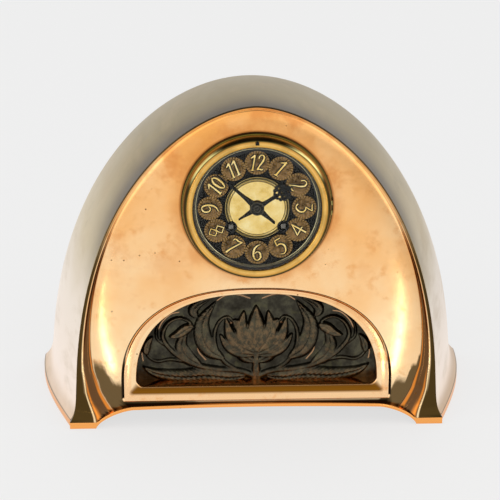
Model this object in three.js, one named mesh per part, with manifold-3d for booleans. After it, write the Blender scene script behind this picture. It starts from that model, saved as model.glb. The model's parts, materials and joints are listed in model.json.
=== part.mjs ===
// Art nouveau table clock: a cast bronze case with a flared hood, an arched front with a recessed relief,
// and an eight-day striking movement behind a round dial. Millimetres, +Z up, the dial faces -Y.
import * as THREE from "three";
import Module from "manifold-3d";
import { mergeVertices } from "three/addons/utils/BufferGeometryUtils.js";

// Case. Depths run back from the front of the foot blocks.
const caseHeight = 322.4; // apex of the front edge
const crownFall = 15; // the crown sinks this far towards the rear
const frontHalfWidth = 174.5; // at the front plane, above the flared foot
const flankSpread = 33; // each flank spreads this far towards the rear
const spreadDepth = 172; // depth at which the flanks run parallel again
const hoodDepth = 186;
const wall = 4;
const frontArch = { rise: 2.48, span: 1.75 }; // exponents of the front outline
const rearArch = { rise: 2.02, span: 1.97 };
const rimHeight = 6.5; // upright edge that stands on the table
const rimReachFront = 6; // how far the foot flares past the wall
const rimReachRear = 9.5;
const coveHeight = 7.5; // decay length of the cove above the rim
const rearRound = 9; // rounding of the hood's rear edge
const rebateInset = 9; // rear rebate that takes the back plate
const flangeInset = 19; // inner edge of the flange in the rebate
const flangeThickness = 4;
const seat = 0.3; // gap between pieces that rest on each other

// Front panel
const seamDepth = 8; // depth of the joint between panel and hood
const panelDepth = 4; // depth of the panel's flat middle
const panelBack = 12;
const panelEdge = 0.5; // the panel stays this far inside the hood's outline
const bandFace = 6.6; // dark strip along the seam
const ridgeDepth = 5;
const valleyDepth = 8.2;
const pillowWidth = 34; // width over which the panel swells up from the valley
const pillowSteps = 3;
const archSpan = 157; // half width of the opening under the lip
const archShoulder = 37; // width of its curved end
const archEnd = 19; // its height where the shoulder ends
const archCrown = 22.3; // its height in the middle
const lipHeight = 4;

// Lunette with the recessed relief
const lunetteBase = 36.5;
const lunetteGap = 16.2; // between the lunette's top and the bezel
const lunetteHalfWidth = 118.5;
const lunetteSpring = 42; // height at which its sides start to curve
const lunetteExponent = 2.4;
const lunetteCorner = 7;
const frameSide = 12; // width of the frame at its sides
const frameFoot = 8;
const frameTop = 5; // width of the frame at its crown
const frameProud = 2.4; // in front of the panel
const reliefDepth = 20; // depth of the relief's ground
const plaqueThickness = 4;
const plaqueLap = 3; // the plaque reaches this far past the window

// Bezel and dial. Heights called proud are measured forward from the panel.
const dialDrop = 95.9; // of the dial centre under the apex
const bezelRadius = 72;
const bezelFlank = 4.9; // width of its dark flank, from the wall to the crest
const bezelBand = 6.2; // width of its gold band, from the crest to the window
const bezelCrest = bezelRadius - bezelFlank;
const bezelWindow = bezelCrest - bezelBand;
const bezelProud = 14;
const bezelSkin = 2; // thickness of the bezel's shell
const tabProud = 0.9; // front of the tab at twelve, in front of the bezel
const glassThickness = 1;
const glassBevel = 0.5; // the flat glass is bevelled by this much at its rim
const glassProud = 12.9;
const hingeInset = 1.2;
const hingeOffset = bezelRadius - hingeInset; // bezel hinge, right of the dial centre
const hingeProud = 2.5;
const hingeRadius = 1.5;
const hingePinRadius = 0.7;
const hingeLength = 14;
const dialRadius = bezelWindow - seat;
const dialProud = 6;
const dialThickness = 1.5;
const dialRebate = 3.3; // width of the dial's edge under its ring
const dialRingLip = dialRadius - dialRebate;
const roundelRim = 4.3; // from a roundel to the dial's edge
const roundelLap = 0.41; // each of the twelve laps its neighbours by this much, along the radius
const roundelOrbit = (dialRadius - roundelRim - roundelLap) / (1 + Math.sin(Math.PI / 12));
const roundelRadius = roundelOrbit * Math.sin(Math.PI / 12) + roundelLap;
const roundelThickness = 1.2;
const medallionGap = 1.9; // between the medallion and the roundels
const medallionRadius = roundelOrbit - roundelRadius - medallionGap;
const medallionThickness = 1.5;
const arborSpacing = 49.4; // between the winding arbors
const arborDrop = 18.6; // of the winding arbors under the dial centre
const ferruleRadius = 5.75;
const windingSquare = 4.4;
const hourAngle = 57; // clockwise from twelve, in degrees
const minuteAngle = 312;
const handThickness = 0.7;
const hourHandHeight = 8.5; // proud of the panel at its back
const minuteHandHeight = 9.6;
const hourPipeOuter = 2.9;
const hourReach = 40;
const hourTail = 19.5;
const hourHeadMiddle = 28; // of the pierced head, from the dial centre
const hourHeadRadius = 8.2;
const hourHeadLobes = 12;
const hourBoss = 5.6;
const hourStem = 2; // half width of the hour hand at its boss
const minuteReach = 54;
const minuteTail = 22;
const minuteBoss = 5.2;
const minuteStem = 2.6;
const hubRadius = 6.3;

// Movement
const plateFront = 18; // depth of the front plate's face
const plateThickness = 2;
const plateGap = 36;
const plateSideInset = 6.3; // the plates' edges lie this far inside the dial's visible radius
const plateTopInset = 0.3;
const plateFootInset = 11.3;
const plateHalfWidth = dialRingLip - plateSideInset;
const plateTop = dialRingLip - plateTopInset; // above the dial centre
const plateFoot = dialRingLip - plateFootInset; // below the dial centre
const pillarRadius = 3;
const cornerInset = 6; // of the corner screws
const pillarSpots = [[36, 51], [-36, 51], [8, -41.5], [-8, -41.5]];
const studRadius = 1.2; // the minute wheel turns on it
const bossRadius = 4;
const arborRadius = 1.1;
const windingRadius = 3.2;
const greatTeeth = 42;
const greatModule = 1.1;
const greatPinion = 7;
const drumRadius = 20;
const drumLength = 18.5;
const middleTeeth = 42; // intermediate wheel of the going train
const middleModule = 0.86;
const centrePinion = 7;
const centreTeeth = 54;
const centreModule = 0.61;
const thirdPinion = 6;
const thirdTeeth = 66;
const thirdModule = 0.46;
const escapePinion = 6;
const escapeTeeth = 42;
const escapeRadius = 12.5;
const strikeTeeth = 42;
const strikeModule = 0.77;
const pinPinion = 7;
const pinTeeth = 36;
const pinModule = 0.66;
const flyPinion = 6;
const cannonLeaves = 12;
const minuteTeeth = 36;
const motionModule = 0.7;
const minutePinion = 10;
const hourTeeth = 40;
const ratchetTeeth = 16;
const ratchetRadius = 8;
const wheelThickness = 1.5;

// Pendulum, hammer and gong
const anchorRise = 18; // anchor arbor above the escape arbor
const pendulumLength = 186;
const bobRadius = 23;
const bobThickness = 10;
const rodRadius = 1.2;
const pendulumOffset = 14; // behind the rear plate
const crutchLength = 42;
const gongRadius = 45;
const gongTurns = 3;
const gongPitch = 6;
const gongWire = 3.2;
const gongOffset = 38; // behind the rear plate
const gongDrop = 88; // centre below the dial centre
const gongBlock = 8; // side of the block that holds the coil's outer end
const gongFootWidth = 12;
const gongFootHeight = 10;
const gongArmWidth = 7;
const hammerArm = 75;
const hammerTail = 12;
const hammerHeadLength = 11;
const hammerHeadRadius = 5;
const liftingPins = 8;
const liftingOrbit = 10.4; // of the pins that lift the hammer
const palletClearance = 0.9; // between the escape teeth and the pallets at rest

// Back
const backThickness = 3;
const backFoot = 6; // the back plate ends this far above the table
const doorRadius = 68;
const doorHole = 62;
const doorDrop = 21.5; // of the door's centre under the dial centre
const doorThickness = 2;
const doorHingeRadius = 2.2;
const doorHingeLength = 24;
const doorPinRadius = 1.1;
const knobRadius = 5;
const knobLength = 10;
const latchX = 12 - doorHole; // the knob's shaft, inside the edge of the plate's hole
const latchShaft = 1.8;
const latchReach = 18;
const latchThickness = 2.4;
const screwRadius = 1.5;
const screwHead = 3;
const screwHeadHeight = 1.6;

// Places that several pieces share
const dialHeight = caseHeight - dialDrop;
const lunetteTop = dialHeight - bezelRadius - lunetteGap;
const doorHeight = dialHeight - doorDrop;
const dialDepth = panelDepth; // the dial's heights start at the panel
const rearPlateFront = plateFront + plateThickness + plateGap;
const rearPlateBack = rearPlateFront + plateThickness;
const backFront = hoodDepth - backThickness;
const doorFace = hoodDepth + seat + doorThickness;
const knobEnd = doorFace + seat + knobLength;
const frontmost = panelDepth - bezelProud - tabProud;
const middleOfDepth = (frontmost + knobEnd) / 2;
const deg = Math.PI / 180;
const tau = 2 * Math.PI;

const wasm = await Module();
wasm.setup();

const finishes = {
  polishedBronze: { color: 0xf2c187, roughness: 0.28, metalness: 1 },
  hoodBronze: { color: 0xcdb795, roughness: 0.35, metalness: 1 },
  patinatedBronze: { color: 0x3f3a30, roughness: 0.5, metalness: 1 },
  bezelBronze: { color: 0x8a763f, roughness: 0.3, metalness: 1 },
  glass: { color: 0xf4f6f4, roughness: 0.05, metalness: 0, transparent: true, opacity: 0.3 },
  blackLacquer: { color: 0x14110c, roughness: 0.4, metalness: 0 },
  stippledBronze: { color: 0x76603a, roughness: 0.5, metalness: 1 },
  gilt: { color: 0xe0c378, roughness: 0.3, metalness: 1 },
  bluedSteel: { color: 0x15161a, roughness: 0.4, metalness: 1 },
  clockBrass: { color: 0xc9a65a, roughness: 0.35, metalness: 1 },
  steel: { color: 0x9a9da0, roughness: 0.35, metalness: 1 },
};

// Shapes in the plane of the front are drawn in (x, z) and given a depth from front to back.
function slab(shape, front, back) {
  const geometry = new THREE.ExtrudeGeometry(shape, { depth: back - front, bevelEnabled: false });
  return geometry.rotateX(Math.PI / 2).translate(0, back, 0);
}

function shapeOf(points) {
  return new THREE.Shape(points.map(([x, z]) => new THREE.Vector2(x, z)));
}

function circlePoints(x, z, radius, count, start = 0) {
  return Array.from({ length: count }, (_, i) => {
    const angle = start + (i * tau) / count;
    return [x + radius * Math.cos(angle), z + radius * Math.sin(angle)];
  });
}

function pierce(shape, ...outlines) {
  for (const outline of outlines) {
    shape.holes.push(new THREE.Path(outline.map(([x, z]) => new THREE.Vector2(x, z))));
  }
  return shape;
}

// A solid of revolution about the depth axis through (x, z); the profile lists radius and depth.
function turned(profile, x, z, segments) {
  const points = profile.map(([radius, depth]) => new THREE.Vector2(radius, depth));
  return tidy(new THREE.LatheGeometry(points, segments).translate(x, 0, z));
}

function closedProfile(profile) {
  return [...profile, profile[0]];
}

function rod(x, z, radius, front, back, segments = 12) {
  return turned([[0, front], [radius, front], [radius, back], [0, back]], x, z, segments);
}

// Only positions, shared vertices, no collapsed faces, and faces that point outwards.
function tidy(source) {
  const bare = new THREE.BufferGeometry();
  bare.setAttribute("position", source.getAttribute("position").clone());
  if (source.index) bare.setIndex(source.index.clone());
  const merged = mergeVertices(bare, 1e-4);
  const index = merged.index.array;
  const place = merged.getAttribute("position");
  const kept = [];
  let volume = 0;
  const [a, b, c] = [new THREE.Vector3(), new THREE.Vector3(), new THREE.Vector3()];
  for (let i = 0; i < index.length; i += 3) {
    const [p, q, r] = [index[i], index[i + 1], index[i + 2]];
    if (p === q || q === r || r === p) continue;
    kept.push(p, q, r);
    a.fromBufferAttribute(place, p);
    b.fromBufferAttribute(place, q);
    c.fromBufferAttribute(place, r);
    volume += a.dot(b.cross(c));
  }
  if (volume < 0) kept.reverse();
  merged.setIndex(kept);
  return merged;
}

function solid(geometry) {
  const clean = tidy(geometry);
  return new wasm.Manifold(
    new wasm.Mesh({
      numProp: 3,
      vertProperties: Float32Array.from(clean.getAttribute("position").array),
      triVerts: Uint32Array.from(clean.index.array),
    }),
  );
}

function geometryOf(body) {
  const mesh = body.getMesh();
  const geometry = new THREE.BufferGeometry();
  const count = mesh.numProp;
  const places = new Float32Array(mesh.numVert * 3);
  for (let i = 0; i < mesh.numVert; i++) {
    places.set(mesh.vertProperties.subarray(i * count, i * count + 3), i * 3);
  }
  geometry.setAttribute("position", new THREE.BufferAttribute(places, 3));
  geometry.setIndex([...mesh.triVerts]);
  return geometry;
}

function fuse(...geometries) {
  return geometryOf(geometries.map(solid).reduce((whole, next) => whole.add(next)));
}

function cut(geometry, ...tools) {
  return geometryOf(tools.map(solid).reduce((whole, next) => whole.subtract(next), solid(geometry)));
}

// The case outline at a depth: a pointed arch whose exponents, width and height change towards the rear.
function archAt(depth) {
  const t = Math.min(Math.max(depth / hoodDepth, 0), 1);
  return {
    width: frontHalfWidth + flankSpread * Math.sin((Math.PI / 2) * Math.min(depth / spreadDepth, 1)),
    height: caseHeight - crownFall * t * t,
    rise: THREE.MathUtils.lerp(frontArch.rise, rearArch.rise, t),
    span: THREE.MathUtils.lerp(frontArch.span, rearArch.span, t),
    reach: THREE.MathUtils.lerp(rimReachFront, rimReachRear, Math.sin((Math.PI / 2) * t)),
  };
}

const footLevels = [0, rimHeight, rimHeight + 3, rimHeight + 8, rimHeight + 15, rimHeight + 27];
const archSteps = 14;
const archStart = 7.5; // degrees, the first step above the foot levels

function rimFlare(z, reach) {
  return reach * Math.exp(-Math.max(0, z - rimHeight) / coveHeight);
}

// Half the outline from the right foot to the apex, as [x, z].
function halfArch(depth, insetAt, flared) {
  const { width, height, rise, span, reach } = archAt(depth);
  const half = footLevels.map((z) => {
    const inset = insetAt(z);
    const x = (width - inset) * (1 - (z / (height - inset)) ** rise) ** (1 / span);
    return [x + (flared ? rimFlare(z, reach) : 0), z];
  });
  for (let i = 0; i <= archSteps; i++) {
    const angle = THREE.MathUtils.lerp(archStart, 90, i / archSteps) * deg;
    const level = Math.sin(angle) ** (2 / rise);
    const inset = insetAt(level * height);
    const z = (height - inset) * level;
    const x = i === archSteps ? 0 : (width - inset) * Math.cos(angle) ** (2 / span);
    half.push([x + (flared ? rimFlare(z, reach) : 0), z]);
  }
  return half;
}

// The outline from the right foot over the apex to the left foot.
function fullArch(half) {
  return [...half, ...half.slice(0, -1).reverse().map(([x, z]) => [-x, z])];
}

// Stitches loops of equal length into one surface; the first station is capped, and the last if asked.
function loftLoops(stations, capTriangles, capLast) {
  const size = stations[0].length;
  const places = stations.flat(2);
  const index = [];
  for (let i = 0; i + 1 < stations.length; i++) {
    for (let j = 0; j < size; j++) {
      const k = (j + 1) % size;
      const [a, b, c, d] = [i * size + j, i * size + k, (i + 1) * size + k, (i + 1) * size + j];
      index.push(a, b, c, a, c, d);
    }
  }
  const last = (stations.length - 1) * size;
  for (const [a, b, c] of capTriangles) {
    index.push(a, c, b);
    if (capLast) index.push(last + a, last + b, last + c);
  }
  const geometry = new THREE.BufferGeometry();
  geometry.setAttribute("position", new THREE.Float32BufferAttribute(places, 3));
  geometry.setIndex(index);
  return tidy(geometry);
}

// A wall section, listed as depth, inset, flare and depth of its outline, swept over the arch.
function sweptOverArch(section) {
  const arches = section.map(([, inset, flared, outline]) => {
    return fullArch(halfArch(outline, () => inset, flared));
  });
  const stations = arches[0].map((_, i) => {
    return section.map(([depth], j) => [arches[j][i][0], depth, arches[j][i][1]]);
  });
  const foot = stations[0].map(([x, y]) => new THREE.Vector2(x, y));
  return loftLoops(stations, THREE.ShapeUtils.triangulateShape(foot, []), true);
}

function hoodShell() {
  const front = seamDepth + seat;
  const flangeFront = backFront - seat - flangeThickness;
  const flanks = [front, 40, 80, 125, spreadDepth];
  const section = [
    ...flanks.map((depth) => [depth, 0, true, depth]),
    [hoodDepth - rearRound * 0.4, rearRound * 0.12, true, hoodDepth],
    [hoodDepth, rearRound * 0.6, true, hoodDepth],
    [hoodDepth, rebateInset, false, backFront],
    [backFront - seat, rebateInset, false, backFront],
    [backFront - seat, flangeInset, false, backFront],
    [flangeFront, flangeInset, false, backFront],
    [flangeFront, wall, false, flangeFront],
    ...flanks.slice(0, -1).reverse().map((depth) => [depth, wall, false, depth]),
  ];
  return sweptOverArch(section);
}

// Width of the dark strip at the seam and of the valley beside it: both open out towards the foot.
const bandWidth = (z) => 2.2 + 3 * (1 - z / caseHeight) + 27 * Math.exp(-z / 22);
const valleyWidth = (z) => 1 + 25 * Math.exp(-z / 62);

function archHeight(x) {
  const flat = archSpan - archShoulder;
  const across = Math.abs(x);
  if (across <= flat) return archEnd + (archCrown - archEnd) * (1 - (across / flat) ** 2);
  return archEnd * Math.max(0, 1 - ((across - flat) / archShoulder) ** 1.5) ** (1 / 1.5);
}

function archStationsX() {
  const steps = 7;
  const flat = archSpan - archShoulder;
  const shoulder = Array.from({ length: steps + 1 }, (_, i) => {
    return archSpan - archShoulder * (1 - Math.cos((i * Math.PI) / (2 * steps)));
  });
  const right = [...shoulder, flat, (2 * flat) / 3, flat / 3];
  return [...right, 0, ...right.slice().reverse().map((x) => -x)];
}

// Surface of the panel as open rings from its flat middle out to the seam and round to its back.
function panelRings() {
  const valleyEdge = (z) => bandWidth(z) + valleyWidth(z);
  const valleyShoulder = valleyDepth - 0.6;
  const pillow = Array.from({ length: pillowSteps }, (_, i) => {
    const t = (1 - Math.cos(((i + 1) * Math.PI) / (2 * pillowSteps))) ** 0.8;
    const swell = Math.sqrt(1 - (1 - t) ** 2);
    return [pillowWidth * t, THREE.MathUtils.lerp(valleyShoulder, panelDepth, swell)];
  }).reverse();
  const lapInset = wall + seat + 0.1;
  return [
    ...pillow.map(([inset, depth]) => ({ inset: (z) => valleyEdge(z) + inset, depth, foot: 0 })),
    { inset: valleyEdge, depth: valleyShoulder, foot: 0.6 },
    { inset: (z) => bandWidth(z) + valleyWidth(z) / 2, depth: valleyDepth, foot: 0.8 },
    { inset: bandWidth, depth: ridgeDepth, foot: 0.9 },
    { inset: () => panelEdge, depth: bandFace, foot: 1 },
    { inset: () => panelEdge, depth: seamDepth, foot: 0 },
    { inset: () => lapInset, depth: seamDepth, foot: 0, plain: true },
    { inset: () => lapInset, depth: panelBack, foot: 0, plain: true },
  ];
}

function panelBlank() {
  const rings = panelRings();
  const arches = rings.map(({ inset, plain }) => halfArch(seamDepth, inset, !plain));
  const stations = arches[0].map((_, i) => {
    const right = rings.map(({ depth, foot }, j) => {
      const [x, z] = arches[j][i];
      return [x, Math.max(depth - foot * rimFlare(z, rimReachFront), 0.4), z];
    });
    const left = right.slice().reverse().map(([x, y, z]) => [-x, y, z]);
    return [...right, ...left];
  });
  const foot = stations[0].map(([x, y]) => new THREE.Vector2(x, y));
  return loftLoops(stations, THREE.ShapeUtils.triangulateShape(foot, []), false);
}

// The bright edge that runs round the opening at the foot and forms the two foot blocks.
function footRim() {
  const stations = archStationsX();
  const { width, reach } = archAt(seamDepth);
  const outer = width + reach - panelEdge;
  const under = stations.map((x) => [x, archHeight(x)]);
  const over = stations
    .filter((x) => archHeight(x) + lipHeight > rimHeight + 0.5)
    .map((x) => [x, archHeight(x) + lipHeight])
    .reverse();
  return shapeOf([
    ...under,
    [-outer, 0],
    [-outer, rimHeight],
    [-archSpan, rimHeight],
    ...over,
    [archSpan, rimHeight],
    [outer, rimHeight],
    [outer, 0],
  ]);
}

function archOpening() {
  const stations = archStationsX();
  return shapeOf([...stations.map((x) => [x, archHeight(x)]), [-archSpan, -5], [archSpan, -5]]);
}

const cornerSpots = [
  [plateHalfWidth - cornerInset, plateTop - cornerInset],
  [-plateHalfWidth + cornerInset, plateTop - cornerInset],
  [-plateHalfWidth + cornerInset, -plateFoot + cornerInset],
  [plateHalfWidth - cornerInset, -plateFoot + cornerInset],
].map(([x, z]) => [x, dialHeight + z]);

function frontPanel() {
  const bosses = cornerSpots.map(([x, z]) => rod(x, z, bossRadius, panelBack - 1, plateFront - seat));
  const window = slab(shapeOf(lunetteOutline(0.45)), -5, panelBack + 5);
  const dialOpening = rod(0, dialHeight, dialRingLip + 2, -5, panelBack + 5, 40);
  const arch = slab(archOpening(), -5, panelBack + 5);
  const body = cut(panelBlank(), arch);
  return cut(fuse(body, slab(footRim(), 0, seamDepth), ...bosses), window, dialOpening);
}

// Outline of the lunette; grow runs from 0 at the window to 1 at the frame's outer edge.
function lunetteOutline(grow) {
  const halfWidth = lunetteHalfWidth + grow * frameSide;
  const base = lunetteBase - grow * frameFoot;
  const top = lunetteTop + grow * frameTop;
  const corner = lunetteCorner * (1 - grow * 0.8);
  const right = [];
  for (let i = 0; i <= 3; i++) {
    const angle = (i / 3) * (Math.PI / 2);
    right.push([halfWidth - corner + corner * Math.sin(angle), base + corner - corner * Math.cos(angle)]);
  }
  const steps = 13;
  for (let i = 0; i <= steps; i++) {
    const angle = (i / steps) * (Math.PI / 2);
    const x = i === steps ? 0 : halfWidth * Math.cos(angle) ** (2 / lunetteExponent);
    const z = lunetteSpring + (top - lunetteSpring) * Math.sin(angle) ** (2 / lunetteExponent);
    right.push([x, Math.max(z, base + corner + 0.5)]);
  }
  return fullArch(right);
}

function reliefFrame() {
  const front = panelDepth - frameProud;
  const profile = [
    [0, front + 2.2],
    [0.4, front],
    [0.8, front + 0.7],
    [0.97, front + 1.8],
    [1, panelDepth - seat],
    [0.42, panelDepth - seat],
    [0.42, panelBack + 1],
    [0.3, reliefDepth],
    [0, reliefDepth],
  ];
  const loops = profile.map(([grow, depth]) => lunetteOutline(grow).map(([x, z]) => [x, depth, z]));
  return loftLoops([...loops, loops[0]], [], false);
}

function reliefPlaque() {
  const grow = plaqueLap / frameSide;
  return slab(shapeOf(lunetteOutline(grow)), reliefDepth + seat, reliefDepth + seat + plaqueThickness);
}

const proud = (height) => dialDepth - height;
const windingSpots = {
  going: [arborSpacing / 2, dialHeight - arborDrop],
  strike: [-arborSpacing / 2, dialHeight - arborDrop],
};

function bezelRing() {
  const rearEdge = 0.5;
  const profile = [
    [bezelRadius - 0.2, rearEdge],
    [bezelRadius - 0.9, bezelProud * 0.4],
    [bezelRadius - 2.8, bezelProud * 0.79],
    [bezelCrest, bezelProud],
    [bezelWindow, bezelProud - 0.7],
    [bezelWindow, glassProud - glassBevel + seat],
    [bezelWindow + bezelSkin, glassProud - glassBevel + seat],
    [bezelWindow + bezelSkin, glassProud - glassThickness],
    [bezelCrest - 0.3, glassProud - glassThickness],
    [bezelCrest + 1.3, bezelProud * 0.46],
    [bezelRadius - bezelSkin - 0.6, rearEdge],
  ];
  const ring = turned(closedProfile(profile.map(([r, p]) => [r, proud(p)])), 0, dialHeight, 40);
  const notch = new THREE.BoxGeometry(6, 9, hingeLength + 2 * seat);
  notch.translate(hingeOffset + 1.2, proud(hingeProud) + 1, dialHeight);
  const knuckleLength = hingeLength / 3 - seat;
  const knuckles = [1, -1].map((side) => {
    const middle = dialHeight + side * (hingeLength / 3 + seat / 2);
    const knuckle = upright(hingeOffset, proud(hingeProud), middle, hingeRadius, knuckleLength);
    return fuse(knuckle, leaf(middle, knuckleLength));
  });
  const bore = upright(hingeOffset, proud(hingeProud), dialHeight, hingePinRadius + seat, hingeLength + 4);
  return cut(fuse(cut(ring, notch), ...knuckles), bore);
}

// The strap that joins a bezel knuckle to the ring above it.
function leaf(middle, length) {
  const strap = new THREE.BoxGeometry(2, bezelProud * 0.5, length);
  return strap.translate(hingeOffset - 0.9, proud(hingeProud + bezelProud * 0.25 + 0.4), middle);
}

function upright(x, y, middle, radius, length, segments = 8) {
  const cylinder = new THREE.CylinderGeometry(radius, radius, length, segments);
  return tidy(cylinder.rotateX(Math.PI / 2).translate(x, y, middle));
}

function bezelHingeBracket() {
  const length = hingeLength / 3 - seat;
  const stem = new THREE.BoxGeometry(2.2, hingeProud + 0.4 - seat, length);
  stem.translate(hingeOffset, proud((hingeProud + 0.4 + seat) / 2), dialHeight);
  const bore = upright(hingeOffset, proud(hingeProud), dialHeight, hingePinRadius + seat, hingeLength);
  return cut(fuse(upright(hingeOffset, proud(hingeProud), dialHeight, hingeRadius, length), stem), bore);
}

function bezelHingePin() {
  return upright(hingeOffset, proud(hingeProud), dialHeight, hingePinRadius, hingeLength);
}

function bezelGlass() {
  const rim = bezelWindow + bezelSkin - seat;
  const profile = [
    [0, glassProud],
    [bezelWindow - 5, glassProud],
    [rim, glassProud - glassBevel],
    [rim, glassProud - glassThickness],
    [0, glassProud - glassThickness],
  ];
  return turned(profile.map(([r, p]) => [r, proud(p)]), 0, dialHeight, 36);
}

function bezelTab() {
  const middle = dialHeight + (bezelWindow + bezelCrest) / 2;
  const [foot, top, half] = [2.6, 1.1, 2.6];
  const [lower, upper] = [middle - half, middle + half];
  const shape = shapeOf([[-foot, lower], [foot, lower], [top, upper], [-top, upper]]);
  return slab(shape, proud(bezelProud + tabProud), proud(bezelProud + 0.1));
}

function dialRing() {
  const lip = dialProud + seat;
  const tube = dialRadius + seat;
  const top = glassProud - glassThickness - 0.5;
  const profile = [
    [dialRingLip, lip + 0.5],
    [tube + 0.4, top],
    [tube + 1.7, top],
    [tube + 1.7, 1.8],
    [tube + 5, 1.8],
    [tube + 5, seat],
    [tube, seat],
    [tube, lip],
    [dialRingLip, lip],
  ];
  return turned(closedProfile(profile.map(([r, p]) => [r, proud(p)])), 0, dialHeight, 32);
}

function windingHoles(radius, front, back) {
  return Object.values(windingSpots).map(([x, z]) => rod(x, z, radius, front, back, 14));
}

function dialPlate() {
  const back = proud(dialProud - dialThickness);
  const disc = rod(0, dialHeight, dialRadius, proud(dialProud), back, 36);
  const feet = [45, 135, 225, 315].map((angle) => {
    const [x, z] = [42 * Math.cos(angle * deg), dialHeight + 42 * Math.sin(angle * deg)];
    return rod(x, z, 1.6, back - 0.2, plateFront - seat, 8);
  });
  const centre = rod(0, dialHeight, hourPipeOuter + 0.4, -20, 20, 16);
  return cut(fuse(disc, ...feet), centre, ...windingHoles(ferruleRadius - 0.9, -20, 15));
}

function chapterRing() {
  const front = proud(dialProud + seat + roundelThickness);
  const back = proud(dialProud + seat);
  const roundels = Array.from({ length: 12 }, (_, i) => {
    const angle = i * 30 * deg;
    const [x, z] = [roundelOrbit * Math.sin(angle), dialHeight + roundelOrbit * Math.cos(angle)];
    return slab(shapeOf(circlePoints(x, z, roundelRadius, 14, 90 * deg)), front, back);
  });
  return cut(fuse(...roundels), ...windingHoles(ferruleRadius + seat, -20, 15));
}

function dialMedallion() {
  const back = dialProud + seat;
  const face = back + medallionThickness;
  const profile = [
    [hourPipeOuter + 0.4, back],
    [hourPipeOuter + 0.4, face],
    [medallionRadius - 4.4, face],
    [medallionRadius - 3.8, face - 0.6],
    [medallionRadius - 0.8, face - 0.3],
    [medallionRadius, face - 0.9],
    [medallionRadius, back],
  ];
  const disc = turned(closedProfile(profile.map(([r, p]) => [r, proud(p)])), 0, dialHeight, 28);
  return cut(disc, ...windingHoles(ferruleRadius + seat, -20, 15));
}

function windingFerrule([x, z]) {
  const back = dialProud + seat;
  const profile = [
    [windingRadius + seat, back],
    [windingRadius + seat, back + 1],
    [ferruleRadius - 1.2, back + 1.9],
    [ferruleRadius - 0.2, back + 1.6],
    [ferruleRadius, back],
  ];
  return turned(closedProfile(profile.map(([r, p]) => [r, proud(p)])), x, z, 14);
}

// Hands are drawn pointing up from the origin and then turned to their place.
function placeHand(shape, angle, front) {
  const blade = slab(shape, front, front + handThickness);
  return blade.rotateY(angle * deg).translate(0, 0, dialHeight);
}

// A slim blade, listed from its root to its tip and tail as half width and distance along the hand.
function bladeOutline(tipSide, reach, tailSide, tail) {
  return shapeOf([
    ...tipSide,
    [0, reach],
    ...tipSide.slice().reverse().map(([x, z]) => [-x, z]),
    ...tailSide.map(([x, z]) => [-x, z]),
    [0, -tail],
    ...tailSide.slice().reverse(),
  ]);
}

function hourHand() {
  const front = proud(hourHandHeight + handThickness);
  const head = circlePoints(0, hourHeadMiddle, hourHeadRadius, hourHeadLobes * 2).map(([x, z], i) => {
    const wave = i % 2 ? 0.88 : 1.1;
    return [x * wave, hourHeadMiddle + (z - hourHeadMiddle) * wave];
  });
  const petalOrbit = hourHeadRadius * 0.561;
  const petal = hourHeadRadius * 0.183;
  const petals = circlePoints(0, hourHeadMiddle, petalOrbit, 4, 45 * deg);
  const holes = petals.map((spot) => circlePoints(...spot, petal, 6));
  const rosette = placeHand(pierce(shapeOf(head), ...holes), hourAngle, front);
  const tipSide = [[hourStem, 0], [hourStem * 0.65, hourHeadMiddle], [hourStem * 0.45, hourReach * 0.925]];
  const tailSide = [[hourStem * 0.35, -hourTail * 0.923]];
  const stem = placeHand(bladeOutline(tipSide, hourReach, tailSide, hourTail), hourAngle, front);
  const boss = placeHand(shapeOf(circlePoints(0, 0, hourBoss, 20)), hourAngle, front);
  const eye = rod(0, dialHeight, hourPipeOuter + seat, -20, 20, 16);
  return cut(fuse(rosette, cut(stem, ...holesThrough(holes, hourAngle)), boss), eye);
}

function holesThrough(outlines, angle) {
  return outlines.map((outline) => {
    return slab(shapeOf(outline), -20, 20).rotateY(angle * deg).translate(0, 0, dialHeight);
  });
}

function minuteHand() {
  const front = proud(minuteHandHeight + handThickness);
  const neck = minuteStem * 0.423;
  const tipSide = [[minuteStem, 0], [neck, minuteReach * 0.407], [minuteStem * 0.269, minuteReach * 0.926]];
  const tailSide = [[neck, -minuteTail * 0.545], [minuteStem * 0.231, -minuteTail * 0.955]];
  const stem = placeHand(bladeOutline(tipSide, minuteReach, tailSide, minuteTail), minuteAngle, front);
  const boss = placeHand(shapeOf(circlePoints(0, 0, minuteBoss, 20)), minuteAngle, front);
  return cut(fuse(stem, boss), rod(0, dialHeight, arborRadius + seat, -20, 20, 10));
}

function handNut() {
  const under = minuteHandHeight + handThickness + seat;
  const profile = [
    [0, under],
    [hubRadius, under],
    [hubRadius, under + 0.5],
    [hubRadius - 0.8, under + 0.9],
    [0, under + 1],
  ];
  return turned(profile.map(([r, p]) => [r, proud(p)]), 0, dialHeight, 18);
}

// A train wheel has pointed teeth, one gap of which faces the given angle, and open crossings.
function wheelShape([x, z], teeth, module, gapAngle, bore, spokes = 4) {
  const pitch = (module * teeth) / 2;
  const [tip, root] = [pitch + 0.8 * module, pitch - 1.2 * module];
  const step = tau / teeth;
  const outline = [];
  for (let i = 0; i < 2 * teeth; i++) {
    const radius = i % 2 ? tip : root;
    const angle = gapAngle + (i * step) / 2;
    outline.push([x + radius * Math.cos(angle), z + radius * Math.sin(angle)]);
  }
  const shape = shapeOf(outline);
  if (bore) pierce(shape, circlePoints(x, z, bore, 10));
  if (spokes) pierce(shape, ...crossings([x, z], root - 1.6, Math.max(4, root * 0.3), spokes));
  return shape;
}

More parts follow.
